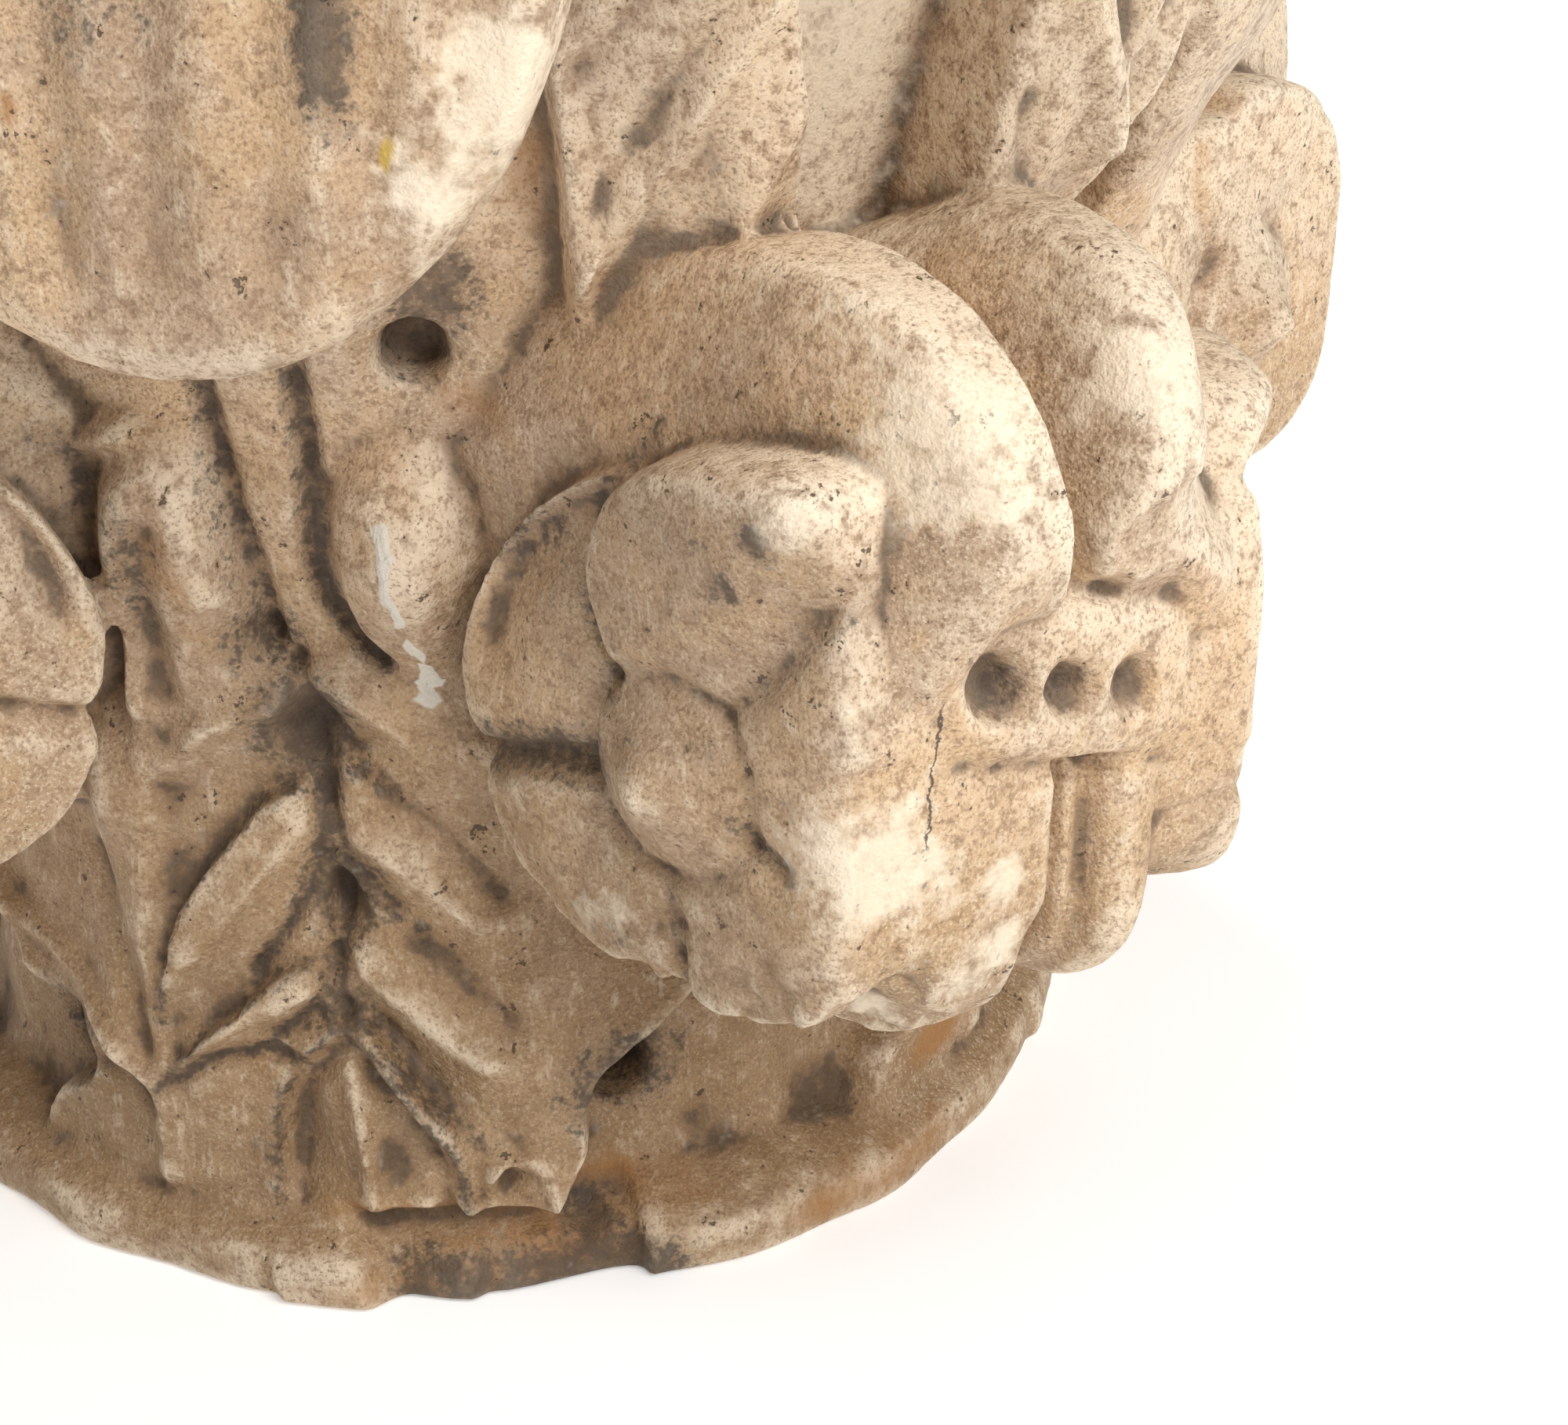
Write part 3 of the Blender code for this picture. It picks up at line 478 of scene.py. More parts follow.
# The rim of a flower, and how far a full-grown petal stands out beyond it: degrees, radius.
RIM = ((-180, .405), (-162, .400), (-154, .420), (-138, .428), (-122, .412), (-113, .400), (-101, .378),
       (-90, .362), (-79, .368), (-57, .402), (-35, .43), (0, .42), (20, .42), (38, .425), (92, .405),
       (99, .384), (108, .374), (129, .369), (143, .372), (159, .382), (172, .395), (180, .405))
PETAL_TIP = ((20, 0.0), (40, .012), (48, .070), (52, .110), (57, .120), (63, .105), (70, .075), (80, .040),
             (92, 0.0))
RIM_NOTCHES = (-162, 100, -87)     # degrees at which the petals part
# From the back of a flower round its rim to its face: share of the way, share of the radius, depth.
FLOWER_SECTION = ((0.0, 0.0, -FLOWER_THICKNESS), (0.10, 0.93, -FLOWER_THICKNESS), (0.25, 1.0, -0.045),
                  (0.33, 0.995, -0.012), (0.36, 0.975, -0.002), (0.40, 0.93, 0.0), (1.0, 0.0, 0.0))
# Grooves between the petals, from the boss out to the rim (outward, up).
GROOVES = (
    ((-.12, -.045), (-.218, -.071), (-.30, -.100), (-.42, -.140)),
    ((-.090, .060), (-.081, .090), (-.116, .146), (-.138, .205), (-.141, .248), (-.125, .307), (-.096, .353),
     (-.06, .42)),
    ((.105, .095), (.151, .136), (.216, .201), (.277, .270), (.36, .33), (.46, .40)),
    ((.13, -.040), (.172, -.067), (.225, -.085)),
    ((.010, -.130), (.014, -.211), (.020, -.270), (.032, -.40)),
)
DISH = ((-.35, .10), (-.31, .18), (-.245, .24), (-.17, .285), (-.13, .30))
BOSS = (0.018, -0.016)


def petal_face(x, y):
    """Height of a flower's face over its plane, x outward and y up in that plane."""
    ring = np.hypot(x, y) / FLOWER_RADIUS
    left, top, right, inward, below = gaps = [off_line(x, y, groove) for groove in GROOVES]
    away = np.min(np.abs(gaps), axis=0)
    upper = (top < 0.0) & (right > 0.0) & (y > -0.05)
    inner = (top >= 0.0) & (left < 0.0) & (x < 0.05)
    lower = (left > 0.0) & (below < 0.0)
    h = 0.010 * smooth(0.0, 0.06, away) + 0.010 * np.sin(math.pi * np.clip(ring, 0.0, 1.0))
    # The upper outer petal stands proud as a cushion that falls away to its right.
    climb = smooth(0.12, 0.44, 0.45 * x + 0.89 * y)
    cushion = 0.020 * smooth(0.0, 0.035, -top) + 0.040 * climb * np.sqrt(smooth(0.0, 0.10, -top))
    h = np.where(upper, h + cushion * smooth(0.0, 0.14, right) * (1.0 - 0.30 * smooth(0.25, 0.42, x)), h)
    # The upper inner one is a shallow dish, scooped out under a thin rim.
    dish = mark(x, y, DISH, 0.125) * smooth(1.0, 0.92, ring * 0.405 / 0.375)
    h = np.where(inner, h - 0.012 * smooth(0.0, 0.03, top) - 0.036 * dish, h)
    h = np.where(lower, h - 0.006 - 0.018 * smooth(0.75, 1.0, ring), h)
    # The right petals run out flat into the broad worn edge of the stalk.
    h = h + 0.006 * smooth(0.18, 0.30, x) * smooth(0.30, 0.18, y)
    # Chased grooves: the left one is wide and wedge-shaped, the others are narrow.
    h = h - 0.034 * np.clip(np.where(left > 0.0, 1.0 - left / 0.045, 1.0 + left / 0.012), 0.0, 1.0)
    for gap, deep, width in ((top, 0.024, 0.022), (right, 0.012, 0.022), (inward, 0.014, 0.020),
                             (below, 0.010, 0.014)):
        h = h - deep * np.clip(1.0 - np.abs(gap) / width, 0.0, 1.0)
    # The boss is a low dome with a blunt cone on it, set off by a fine channel.
    r = np.hypot(x - BOSS[0], y - BOSS[1])
    from_tip = np.hypot(x - BOSS[0] + 0.004, y - BOSS[1] + 0.010)
    dome = 0.032 * np.sqrt(np.clip(1.0 - (r / 0.143) ** 2, 0.0, 1.0))
    cone = 0.060 * np.clip(1.0 - from_tip / 0.110, 0.0, 1.0) ** 1.3
    on_boss = smooth(0.150, 0.132, r)
    h = h * (1.0 - on_boss) + (dome + cone + 0.004) * on_boss
    return h - 0.015 * swell(r, 0.152, 0.011)


def flower(corner, hand):
    """One flower: u runs around it, v from the middle of its back over the rim to its boss."""
    near, far = (corner, hand) == NEAR_FLOWER, (corner, hand) == FAR_FLOWER
    out0, side0, up0 = FLOWER_CENTRE
    shift_out, shift_side, shift_up, growth = FLOWER_SHIFTS.get((corner, hand), (0.0, 0.0, 0.0, 0.4))
    sin_toe, cos_toe = math.sin(FLOWER_TOE_IN), math.cos(FLOWER_TOE_IN)

    def place(u, v):
        angle = 2.0 * math.pi * u
        degrees = (np.degrees(angle) + 180.0) % 360.0 - 180.0
        reach = np.interp(degrees, *zip(*RIM)) + growth * np.interp(degrees, *zip(*PETAL_TIP))
        reach = reach * (0.94 if far else 1.0)
        gap = np.min([np.abs((degrees - edge + 180.0) % 360.0 - 180.0) for edge in RIM_NOTCHES], axis=0)
        reach = reach * (1.0 - 0.035 * np.clip(1.0 - gap / 6.0, 0.0, 1.0))
        stops, shares, depths = zip(*FLOWER_SECTION)
        ring, depth = np.interp(v, stops, shares), np.interp(v, stops, depths)
        x, y = reach * ring * np.cos(angle), reach * ring * np.sin(angle)
        rise = petal_face(x, y) * smooth(0.25, 0.40, v)
        if far:
            # Its petals are worn flat around the boss.
            rise = rise * (0.35 + 0.95 * smooth(0.165, 0.13, np.hypot(x - BOSS[0], y - BOSS[1])))
        depth = depth + rise
        out = out0 + shift_out + x * cos_toe + depth * sin_toe
        side = side0 + shift_side - x * sin_toe + depth * cos_toe
        up = up0 + shift_up + y
        # Outward the flower is cut off by the front of the stalk, with a rounded edge between them.
        front = 1.588 + 0.012 * smooth(1.10, 1.13, up + STRAP_SLANT * hand * side)
        front = front - 0.10 * np.clip(side - 0.19, 0.0, 1.0)
        if far:
            front = front + 0.08
        elif not near:
            for joint in (0.955, 1.405):
                front = front - 0.022 * swell(up, joint, 0.014) - 0.012 * smooth(joint, joint + 0.01, up)
            front = front + 0.010
        rounding = 0.062
        out = front - rounding * np.logaddexp(0.0, (front - out) / rounding)
        return corner_place(corner, out, hand * side, up)
    return place


for corner in CORNERS:
    for hand in (-1, 1):
        lay("flower", 300, 230, flower(corner, hand))

# The upright leaves.
# Two leaves rise over each scroll and lean out under the top slab. Their inner
# edges are cut back as a flat cheek, and their fronts carry raised veins.
CALYX = (  # height, inner edge (degrees from the corner, radius), outer edge (degrees, radius)
    (1.50, 5.6, 1.08, 20.5, 0.98),
    (1.62, 5.8, 1.145, 21.0, 1.03),
    (1.74, 6.2, 1.175, 21.4, 1.060),
    (1.98, 8.2, 1.222, 23.0, 1.100),
    (2.18, 10.2, 1.300, 25.0, 1.16),
    (2.38, 11.4, 1.420, 27.0, 1.26),
)
# The outer edge, the veins and the folds on the front of a leaf: degrees from the corner and height.
LEAF_EDGE = line((20.6, 1.58), (20.9, 1.70), (21.4, 1.80), (22.2, 1.90), (23, 1.98), (25, 2.18))
LEAF_VEIN = line((10.4, 2.07), (12.2, 1.982), (13.6, 1.93), (15.4, 1.848), (17.4, 1.79), (21, 1.66))
LEAF_VEIN_2 = line((17.5, 2.15), (19.5, 2.06), (20.4, 2.018), (22.6, 1.955))
LEAF_FOLD = line((3.0, 2.25), (6.0, 2.03), (7.2, 1.93), (8.7, 1.856), (9.8, 1.808), (10.8, 1.754),
                 (11.6, 1.70), (12, 1.60))
CLOTH_FOLDS = (line((10.0, 2.08), (11.2, 2.0), (14.5, 1.87), (15.6, 1.80), (16.6, 1.73)),
               line((12.2, 2.03), (13.6, 1.98), (15.4, 1.90), (17.0, 1.82), (17.5, 1.74)),
               line((20.5, 2.20), (19.4, 2.05), (18.6, 1.92), (17.2, 1.75)))


def calyx_leaf(corner, hand):
    """One upright leaf: u runs around its section, v from its foot to its top."""
    def place(u, v):
        z, a_in, r_in, a_out, r_out = through(CALYX, np.clip((v - 0.04) / 0.92, 0.0, 1.0)).T
        if hand > 0:
            a_out, r_out = a_out + 2.0 * smooth(1.55, 1.9, z), r_out + 0.13 * smooth(1.52, 1.9, z)
        end = np.clip(np.maximum(0.04 - v, v - 0.96) / 0.04, 0.0, 1.0)
        # Around the leaf: its front from the outer edge to the inner one, the cheek and the buried back.
        stops = (0.0, 0.02, 0.06, 0.60, 0.63, 0.72, 0.80, 0.87, 0.95, 1.0)
        share = np.interp(u, stops, (0.0, 0.005, 0.05, 0.99, 1.0, 1.0, 1.0, 0.5, 0.0, 0.0))
        lift = np.interp(u, (0.0, 0.02, 0.06, 0.25, 0.45, 0.58, 0.63, 1.0),
                         (0.0, 0.028, 0.036, 0.030, 0.034, 0.022, 0.0, 0.0))
        sunk = np.interp(u, stops, (0.0, 0.0, 0.0, 0.0, 0.0, 0.35, 1.0, 1.0, 1.0, 0.0))
        a = a_out + (a_in - a_out) * share
        r = r_out + (r_in - r_out) * share + lift
        x, front = a * PER_DEGREE, smooth(0.64, 0.60, u) * smooth(0.0, 0.02, u)
        r = r + front * 0.022 * mark(x, z, LEAF_EDGE, 0.035)
        if hand < 0:
            # A raised vein with its groove, and the inner part folded back along a slanting line.
            for vein, rise, aside in ((LEAF_VEIN, 0.020, -0.032), (LEAF_VEIN_2, 0.018, 0.032)):
                groove = 0.009 * ridge(x + aside, z, vein, 0.030)
                r = r + front * (rise * ridge(x, z, vein, 0.026) - groove)
            fold = off_line(x, z, LEAF_FOLD)
            r = r - front * 0.80 * np.clip(-fold, 0.0, 0.10) + front * 0.016 * np.exp(-np.abs(fold) / 0.012)
        else:
            for fold in CLOTH_FOLDS:
                r = r + front * (0.028 * ridge(x, z, fold, 0.032) - 0.014 * mark(x - 0.045, z, fold, 0.035))
            r = r - front * 0.014 * mark(x, z, line((9.2, 1.86), (9.6, 1.79), (10.6, 1.73)), 0.030)
        r = r + (0.78 - r) * sunk
        r = r * (1.0 - end) + 0.95 * end
        a = a * (1.0 - end) + 13.0 * end
        return polar(r, corner + hand * a, z)
    return place


for corner in CORNERS:
    for hand in (-1, 1):
        lay("calyx_leaf", 260, 180, calyx_leaf(corner, hand))

# The centre leaves.
# In the middle of each face the tip of a tall leaf bends out under the slab. Its
# front is fluted, and its lower rim is a round scallop. One tip is broken short.
FACES = (0.0, 90.0, 180.0, 270.0)  # degrees from -Y toward +X
FRONT_FACE, BROKEN_FACE = 0.0, 90.0
FRONT_LEAF_SHIFT = 0.06            # the front one stands a little right of the middle
LEAF_HALF_WIDTH = 0.49
LEAF_TOP, LEAF_RIM = 2.40, 1.67
# Sections (outward, height) from the root over the top and back underneath.
LEAF_TIP = ((0.80, 2.38), (1.10, 2.40), (1.33, 2.38), (1.41, 2.30), (1.47, 2.14), (1.485, 1.96),
            (1.475, 1.80), (1.455, 1.70), (1.40, 1.665), (1.28, 1.74), (1.13, 1.86), (0.92, 1.93),
            (0.80, 1.96), (0.75, 2.04), (0.80, 2.38))
BROKEN_TIP = ((0.80, 2.38), (1.10, 2.40), (1.25, 2.36), (1.33, 2.25), (1.345, 2.08), (1.32, 1.92),
              (1.285, 1.823), (1.20, 1.697), (1.15, 1.584), (1.115, 1.48), (1.04, 1.38), (0.92, 1.34),
              (0.75, 1.50), (0.75, 2.0), (0.80, 2.38))
FLUTES = (-0.42, -0.29, -0.155, -0.03, 0.078, 0.215, 0.33, 0.43)


def centre_leaf(face):
    """One leaf tip: u runs around its section, v across it."""
    shift = FRONT_LEAF_SHIFT if face == FRONT_FACE else 0.0
    broken = face == BROKEN_FACE

    def place(u, v):
        out, up = through(BROKEN_TIP if broken else LEAF_TIP, u).T
        w = np.clip((v - 0.5) * 2.08, -1.0, 1.0)
        end = np.clip((np.abs(v - 0.5) - 0.4808) / 0.0192, 0.0, 1.0)
        front = smooth(1.15, 1.40, out)
        scallop = 0.62 * (1.0 - np.sqrt(np.clip(1.0 - w * w, 0.0, 1.0))) * smooth(0.95, 1.15, out)
        up = up + scallop * (LEAF_TOP - up) / (LEAF_TOP - LEAF_RIM) * (0.5 if broken else 1.0)
        side = w * LEAF_HALF_WIDTH * (0.62 + 0.38 * smooth(1.0, 1.25, out))
        flute = np.zeros(np.shape(u))
        for at in FLUTES:
            flute += 0.021 * swell(side + shift, at * (1.0 + 0.10 * (up - 1.9)), 0.040)
        flute = flute * smooth(1.70, 1.85, up) * (0.4 if broken else 1.0)
        out = out - front * (0.09 * w * w + flute)
        up = np.minimum(up, LEAF_TOP)
        out, up = out + (1.10 - out) * end, up + (2.20 - up) * end
        return corner_place(face, out, shift + side, up)
    return place


for face in FACES:
    lay("centre_leaf", 190, 190, centre_leaf(face))

# The top slab.
# A plain slab with four hollowed sides and cut corners closes the block and
# carries the load of the arch above. Its top is worked flat.
HEIGHT = 2.60
SLAB_CORNER, SLAB_SIDE = 1.75, 1.36  # from the axis to a cut corner and to the middle of a side
SLAB_CUT = 0.20                    # half the width of a cut corner
CUT_SHARE = 0.16                   # share of the net's quarter that runs across it
SLAB_UNDERSIDE = 2.36
# From the middle of the underside to that of the top: share of the way, share of the width, height.
SLAB_SECTION = ((0.0, 0.0, SLAB_UNDERSIDE), (0.12, 0.93, SLAB_UNDERSIDE), (0.30, 0.97, 2.44),
                (0.36, 1.0, 2.46), (0.62, 1.0, HEIGHT - 0.012), (0.66, 0.992, HEIGHT), (1.0, 0.0, HEIGHT))


def slab(u, v):
    """Around the slab in four quarters, each a cut corner and the hollow side after it."""
    quarter = u * 4.0
    corner = np.floor(np.minimum(quarter, 3.9999))
    t = quarter - corner
    across_cut = -SLAB_CUT + 2.0 * SLAB_CUT * np.clip(t / CUT_SHARE, 0.0, 1.0)
    # Seen from the corner's own axes, the hollow side runs to the next cut corner.
    s = np.clip((t - CUT_SHARE) / (1.0 - CUT_SHARE), 0.0, 1.0)
    sag = 4.0 * s * (1.0 - s) * (SLAB_SIDE * math.sqrt(0.5) - 0.5 * (SLAB_CORNER + SLAB_CUT))
    out = np.where(t < CUT_SHARE, SLAB_CORNER, SLAB_CORNER + (SLAB_CUT - SLAB_CORNER) * s + sag)
    side = np.where(t < CUT_SHARE, across_cut, SLAB_CUT + (SLAB_CORNER - SLAB_CUT) * s + sag)
    stops, sizes, heights = zip(*SLAB_SECTION)
    size, z = np.interp(v, stops, sizes), np.interp(v, stops, heights)
    a = np.radians(NEAR_CORNER + 90.0 * corner)
    x, y = out * size, side * size
    return np.stack([x * np.sin(a) + y * np.cos(a), -x * np.cos(a) + y * np.sin(a), z], axis=-1)


lay("slab", 360, 90, slab)

# The carved block.
# All forms are one stone, so they are fused into one skin, and the joints between
# them are rounded as a chisel and a thousand years leave them.
NET, QUICK_NET = 0.00125, 0.0030   # metres between the points of the fused skin
TRIANGLES = 192000                 # left after thinning
joined = bmesh.new()
for mesh in forms:
    joined.from_mesh(mesh)
bmesh.ops.remove_doubles(joined, verts=joined.verts, dist=1e-6)
mesh = bpy.data.meshes.new("capital_stone")
joined.to_mesh(mesh)
joined.free()
stone = bpy.data.objects.new("capital_stone", mesh)
bpy.context.scene.collection.objects.link(stone)


def applied(piece):
    """The piece with its modifiers made part of its mesh."""
    bpy.context.view_layer.update()
    result = bpy.data.meshes.new_from_object(piece.evaluated_get(bpy.context.evaluated_depsgraph_get()))
    piece.modifiers.clear()
    piece.data = result
    return result


fuse = stone.modifiers.new("fuse", "REMESH")
fuse.mode = "VOXEL"
fuse.voxel_size = NET
mesh = applied(stone)


def read(mesh):
    """Places, normals and edges of a mesh; places in bed radii."""
    co = np.empty(len(mesh.vertices) * 3)
    mesh.vertices.foreach_get("co", co)
    normal = np.empty(len(mesh.vertices) * 3)
    mesh.vertex_normals.foreach_get("vector", normal)
    edge = np.empty(len(mesh.edges) * 2, dtype=np.int32)
    mesh.edges.foreach_get("vertices", edge)
    return co.reshape(-1, 3) / BED_RADIUS, normal.reshape(-1, 3), edge.reshape(-1, 2)


def evened(values, edge, times):
    """Values at the vertices, evened out with their neighbours."""
    count = len(values)
    a, b = edge[:, 0], edge[:, 1]
    share = np.bincount(a, minlength=count) + np.bincount(b, minlength=count)
    share = np.maximum(share, 1)
    values = values.reshape(count, -1).copy()
    for _ in range(times):
        for k in range(values.shape[1]):
            near = (np.bincount(a, weights=values[b, k], minlength=count)
                    + np.bincount(b, weights=values[a, k], minlength=count)) / share
            values[:, k] = 0.5 * (values[:, k] + near)
    return values


SCATTER = np.array((374761393, 668265263, 1274126177))  # odd factors that scatter the lumps' heights


def grain(p, size, seed):
    """Smooth random heights from -1 to 1, in lumps of the given size."""
    q = p / size + seed * 17.31
    base = np.floor(q).astype(np.int64)
    f = q - base
    f = f * f * (3.0 - 2.0 * f)
    total = np.zeros(len(p))
    for step in itertools.product((0, 1), repeat=3):
        n = (base + step) @ SCATTER
        n = (n ^ (n >> 13)) * SCATTER[2]
        n = ((n ^ (n >> 16)) & 0xffff) / 32767.5 - 1.0
        total += n * np.prod(np.where(step, f, 1.0 - f), axis=1)
    return total


def stands_out(place, edge, normal, times):
    """How far each place stands out from its surroundings; more times, wider surroundings."""
    return np.einsum("ij,ij->i", place - evened(place, edge, times), normal)


def along_near_corner(place):
    """How far out along the near corner each place is, and how far to its right."""
    a = math.radians(NEAR_CORNER)
    return (place[:, 0] * math.sin(a) - place[:, 1] * math.cos(a),
            place[:, 0] * math.cos(a) + place[:, 1] * math.sin(a))


def set_places(mesh, place):
    """Moves the points to the given places, kept inside the solid's own box."""
    low, high = (np.array(corner) / BED_RADIUS for corner in cad_box)
    place = np.clip(place, low, high)
    mesh.vertices.foreach_set("co", (place * BED_RADIUS).ravel())
    mesh.update()
    return place


def azimuth_of(place):
    """Degrees from -Y toward +X."""
    return np.degrees(np.arctan2(place[:, 0], -place[:, 1]))


place, normal, edge = read(mesh)
softened = evened(place, edge, 2)
convex = stands_out(place, edge, normal, 14)
rounded = smooth(0.003, 0.012, np.abs(convex))
place = place + (softened - place) * (0.30 + 0.30 * rounded)[:, None]

# Wear: slow waves, pits and chipped arrises; the two beds stay flat.
waves = 0.0035 * grain(place, 0.16, 1) + 0.0020 * grain(place, 0.06, 2) + 0.0009 * grain(place, 0.028, 3)
chips = smooth(0.15, 0.45, grain(place, 0.09, 4) + 0.4 * grain(place, 0.04, 5)) * smooth(0.004, 0.012, convex)
pits = smooth(0.62, 0.85, grain(place, 0.020, 6)) * smooth(-0.2, 0.5, grain(place, 0.25, 7))
depth = waves - 0.0025 - 0.014 * chips - 0.0028 * pits
# The lower edge of the near flower and of the stalks beside it is worn to a crumbly skin.
outward, across = along_near_corner(place)
crumbled = smooth(0.98, 0.80, place[:, 2]) * smooth(0.95, 1.10, outward) * smooth(0.02, -0.06, across)
depth = depth - crumbled * 0.016 * smooth(-0.1, 0.8, grain(place, 0.075, 8) + 0.6 * grain(place, 0.032, 9))
free = smooth(0.004, 0.03, place[:, 2]) * smooth(HEIGHT - 0.004, HEIGHT - 0.03, place[:, 2])
place = set_places(mesh, place + normal * (depth * (0.15 + 0.85 * free))[:, None])

# The fine net is thinned out, less on the side that is carved deepest and best kept.
azimuth = azimuth_of(place)
kept = smooth(-62.0, -42.0, azimuth) * smooth(112.0, 92.0, azimuth)
group = stone.vertex_groups.new(name="thin")
levels = np.round(10.0 - 9.0 * kept).astype(int)
for level in range(1, 11):
    members = np.nonzero(levels == level)[0].tolist()
    if members:
        group.add(members, level / 10.0, "REPLACE")
thin = stone.modifiers.new("thin", "DECIMATE")
thin.ratio = TRIANGLES / (2.0 * len(mesh.polygons))
thin.vertex_group = "thin"
thin.vertex_group_factor = 0.00002
mesh = applied(stone)
place, normal, edge = read(mesh)
place = set_places(mesh, place)

# Where the surface is hollow dirt has settled, where it stands out it is rubbed pale.
fine, middle, broad = (stands_out(place, edge, normal, times) for times in (3, 14, 90))
crease = smooth(0.0005, 0.0035, -fine) * 0.5 + smooth(0.0015, 0.011, -middle) * 0.8
rubbed = smooth(0.0006, 0.0045, fine) * 0.5 + smooth(0.002, 0.014, middle) * 0.6

# Marks seen in the picture, set down in places of the bell, the near flower and the near corner.
x, y, z = place.T
azimuth = azimuth_of(place)
along = azimuth * PER_DEGREE
radius = np.hypot(x, y)
on_bell = smooth(0.06, 0.03, np.abs(radius - bell_radius(azimuth, z))) * (np.abs(azimuth) < 60.0)
# Dirt along lines of the bell: line, width, strength. Dirt in its hollows, and painted shadow in one deep
# pocket: degrees, height, half width, half height, strength.
DIRT_LINES = ([(track, .020, .7) for track in CREASES]
              + [(track, .020, .5) for track in RIGHT_LIPS + LEFT_LIPS]
              + [(TONGUE, .020, .5), (JOIN, .035, .6), (STEM_LEFT, .045, .45), (STEM_RIGHT, .040, .65)])
DIRT_AND_SHADOW_HOLLOWS = (
    (0.0, .925, .085, .110, 1.0), (3.0, .66, .075, .085, .9), (3.1, .47, .05, .06, .8),
    # At -20.5 degrees and 1.30 high: painted shadow in the deep pocket beside the left flower.
    (-20.5, 1.30, .10, .10, .8), (-3.2, 1.07, .07, .06, .6), (14.5, 1.64, .07, .09, .8),
    (12.5, 1.53, .06, .06, .45), (-12, 1.20, .05, .12, .5), (29.7, .33, .12, .10, .8),
    (-29.7, .31, .10, .09, .9), (25.5, .085, .05, .03, 1.0),
)
ink = np.zeros(len(place))
for track, width, dark in DIRT_LINES:
    ink = np.maximum(ink, on_bell * dark * mark(along, z, track, width))
for a, high, wide, tall, dark in DIRT_AND_SHADOW_HOLLOWS:
    ink = np.maximum(ink, on_bell * dark * spot(along, z, a * PER_DEGREE, high, wide * 1.5, tall * 1.5))
# On the near flower: the same along its grooves, around its boss and in its hollows.
GROOVE_DIRT = ((.050, .75), (.030, .45), (.022, .25), (.022, .5), (.020, .3))
FLOWER_DIRT = (
    (-.27, .22, .16, .14, .35), (-.13, -.30, .20, .10, .25), (-.02, .02, .07, .06, .25),
    (.18, .16, .05, .05, .4), (.10, .36, .20, .06, .25), (-.34, -.14, .08, .05, .6),
    (.201, .380, .030, .045, .95), (.146, .303, .040, .050, .7), (.277, .446, .022, .022, .9),
    (.08, .06, .05, .04, .4), (.23, .03, .02, .08, .5),
)
outward, across = along_near_corner(place)
step_out, step_side = outward - FLOWER_CENTRE[0], -across - FLOWER_CENTRE[1]
sin_toe, cos_toe = math.sin(FLOWER_TOE_IN), math.cos(FLOWER_TOE_IN)
flower_x, flower_y = step_out * cos_toe - step_side * sin_toe, z - FLOWER_CENTRE[2]
above_face = step_out * sin_toe + step_side * cos_toe - petal_face(flower_x, flower_y)
on_flower = smooth(0.07, 0.04, np.abs(above_face)) * (np.hypot(flower_x, flower_y) < 0.53)
for groove, (width, dark) in zip(GROOVES, GROOVE_DIRT):
    ink = np.maximum(ink, on_flower * dark * mark(flower_x, flower_y, groove, width * 1.4))
from_ring = np.abs(np.hypot(flower_x - BOSS[0], flower_y - BOSS[1]) - 0.150)
ink = np.maximum(ink, on_flower * 0.15 * smooth(0.030, 0.008, from_ring))
for cx, cy, wide, tall, dark in FLOWER_DIRT:
    ink = np.maximum(ink, on_flower * dark * spot(flower_x, flower_y, cx, cy, wide, tall))
# On the front centre leaf, under the broken ring and in the bowls of the near strap.
on_tip = (-y > 1.33) & (np.abs(x) < 0.7)
ink = np.maximum(ink, on_tip * 0.95 * spot(x, z, .285, 2.09, .060, .17))
ink = np.maximum(ink, on_tip * 0.30 * spot(x, z, .03, 2.12, .20, .16))
broken_ring = smooth(0.10, 0.05, z) * smooth(5.0, 9.0, azimuth) * smooth(37.0, 30.0, azimuth)
ink = np.maximum(ink, on_bell * 0.72 * broken_ring)
for side, high, wide, tall in ((-.117, 1.245, .05, .05), (-.027, 1.228, .035, .04),
                               (.073, 1.205, .035, .035)):
    ink = np.maximum(ink, 0.55 * spot(across, z, side, high, wide, tall) * (outward > 1.3))

# Pale chips and rubbed places: outward, across, height, size, strength.
CHIPS = (
    (1.57, .07, 1.62, .085, 1.0), (1.55, .06, 1.55, .06, .8), (1.58, -.22, 1.60, .13, .7),
    (1.54, -.29, 1.05, .12, .8), (1.56, -.09, .95, .05, .8), (1.56, -.10, .87, .05, .9),
    (1.18, -.44, .83, .040, .5), (1.12, -.45, .80, .045, .5), (1.55, -.32, 1.26, .03, .6),
    (1.45, -.22, .75, .06, .8), (1.55, -.13, .83, .05, .6), (1.28, -.74, 1.91, .06, 1.0),
    (1.33, -.65, 2.04, .10, .9), (1.30, -.68, 2.02, .09, .7), (1.26, -.70, 1.80, .05, .6),
    (1.50, -.41, 1.52, .05, .5), (1.41, -.24, 1.73, .12, .4), (1.535, .33, 1.02, .04, .6),
)
# Painted light on the top of the near scroll and on the plain field between the upright leaves, laid in with
# the pale chips.
painted_scroll_light = spot(across, z, .13, 1.62, .17, .24) * (outward > 1.10)
painted_field_light = spot(azimuth, z, NEAR_CORNER, 2.02, 13.0, 0.62) * (radius < 1.20)
chips_and_painted_light = np.maximum(0.45 * painted_scroll_light, 0.80 * painted_field_light)
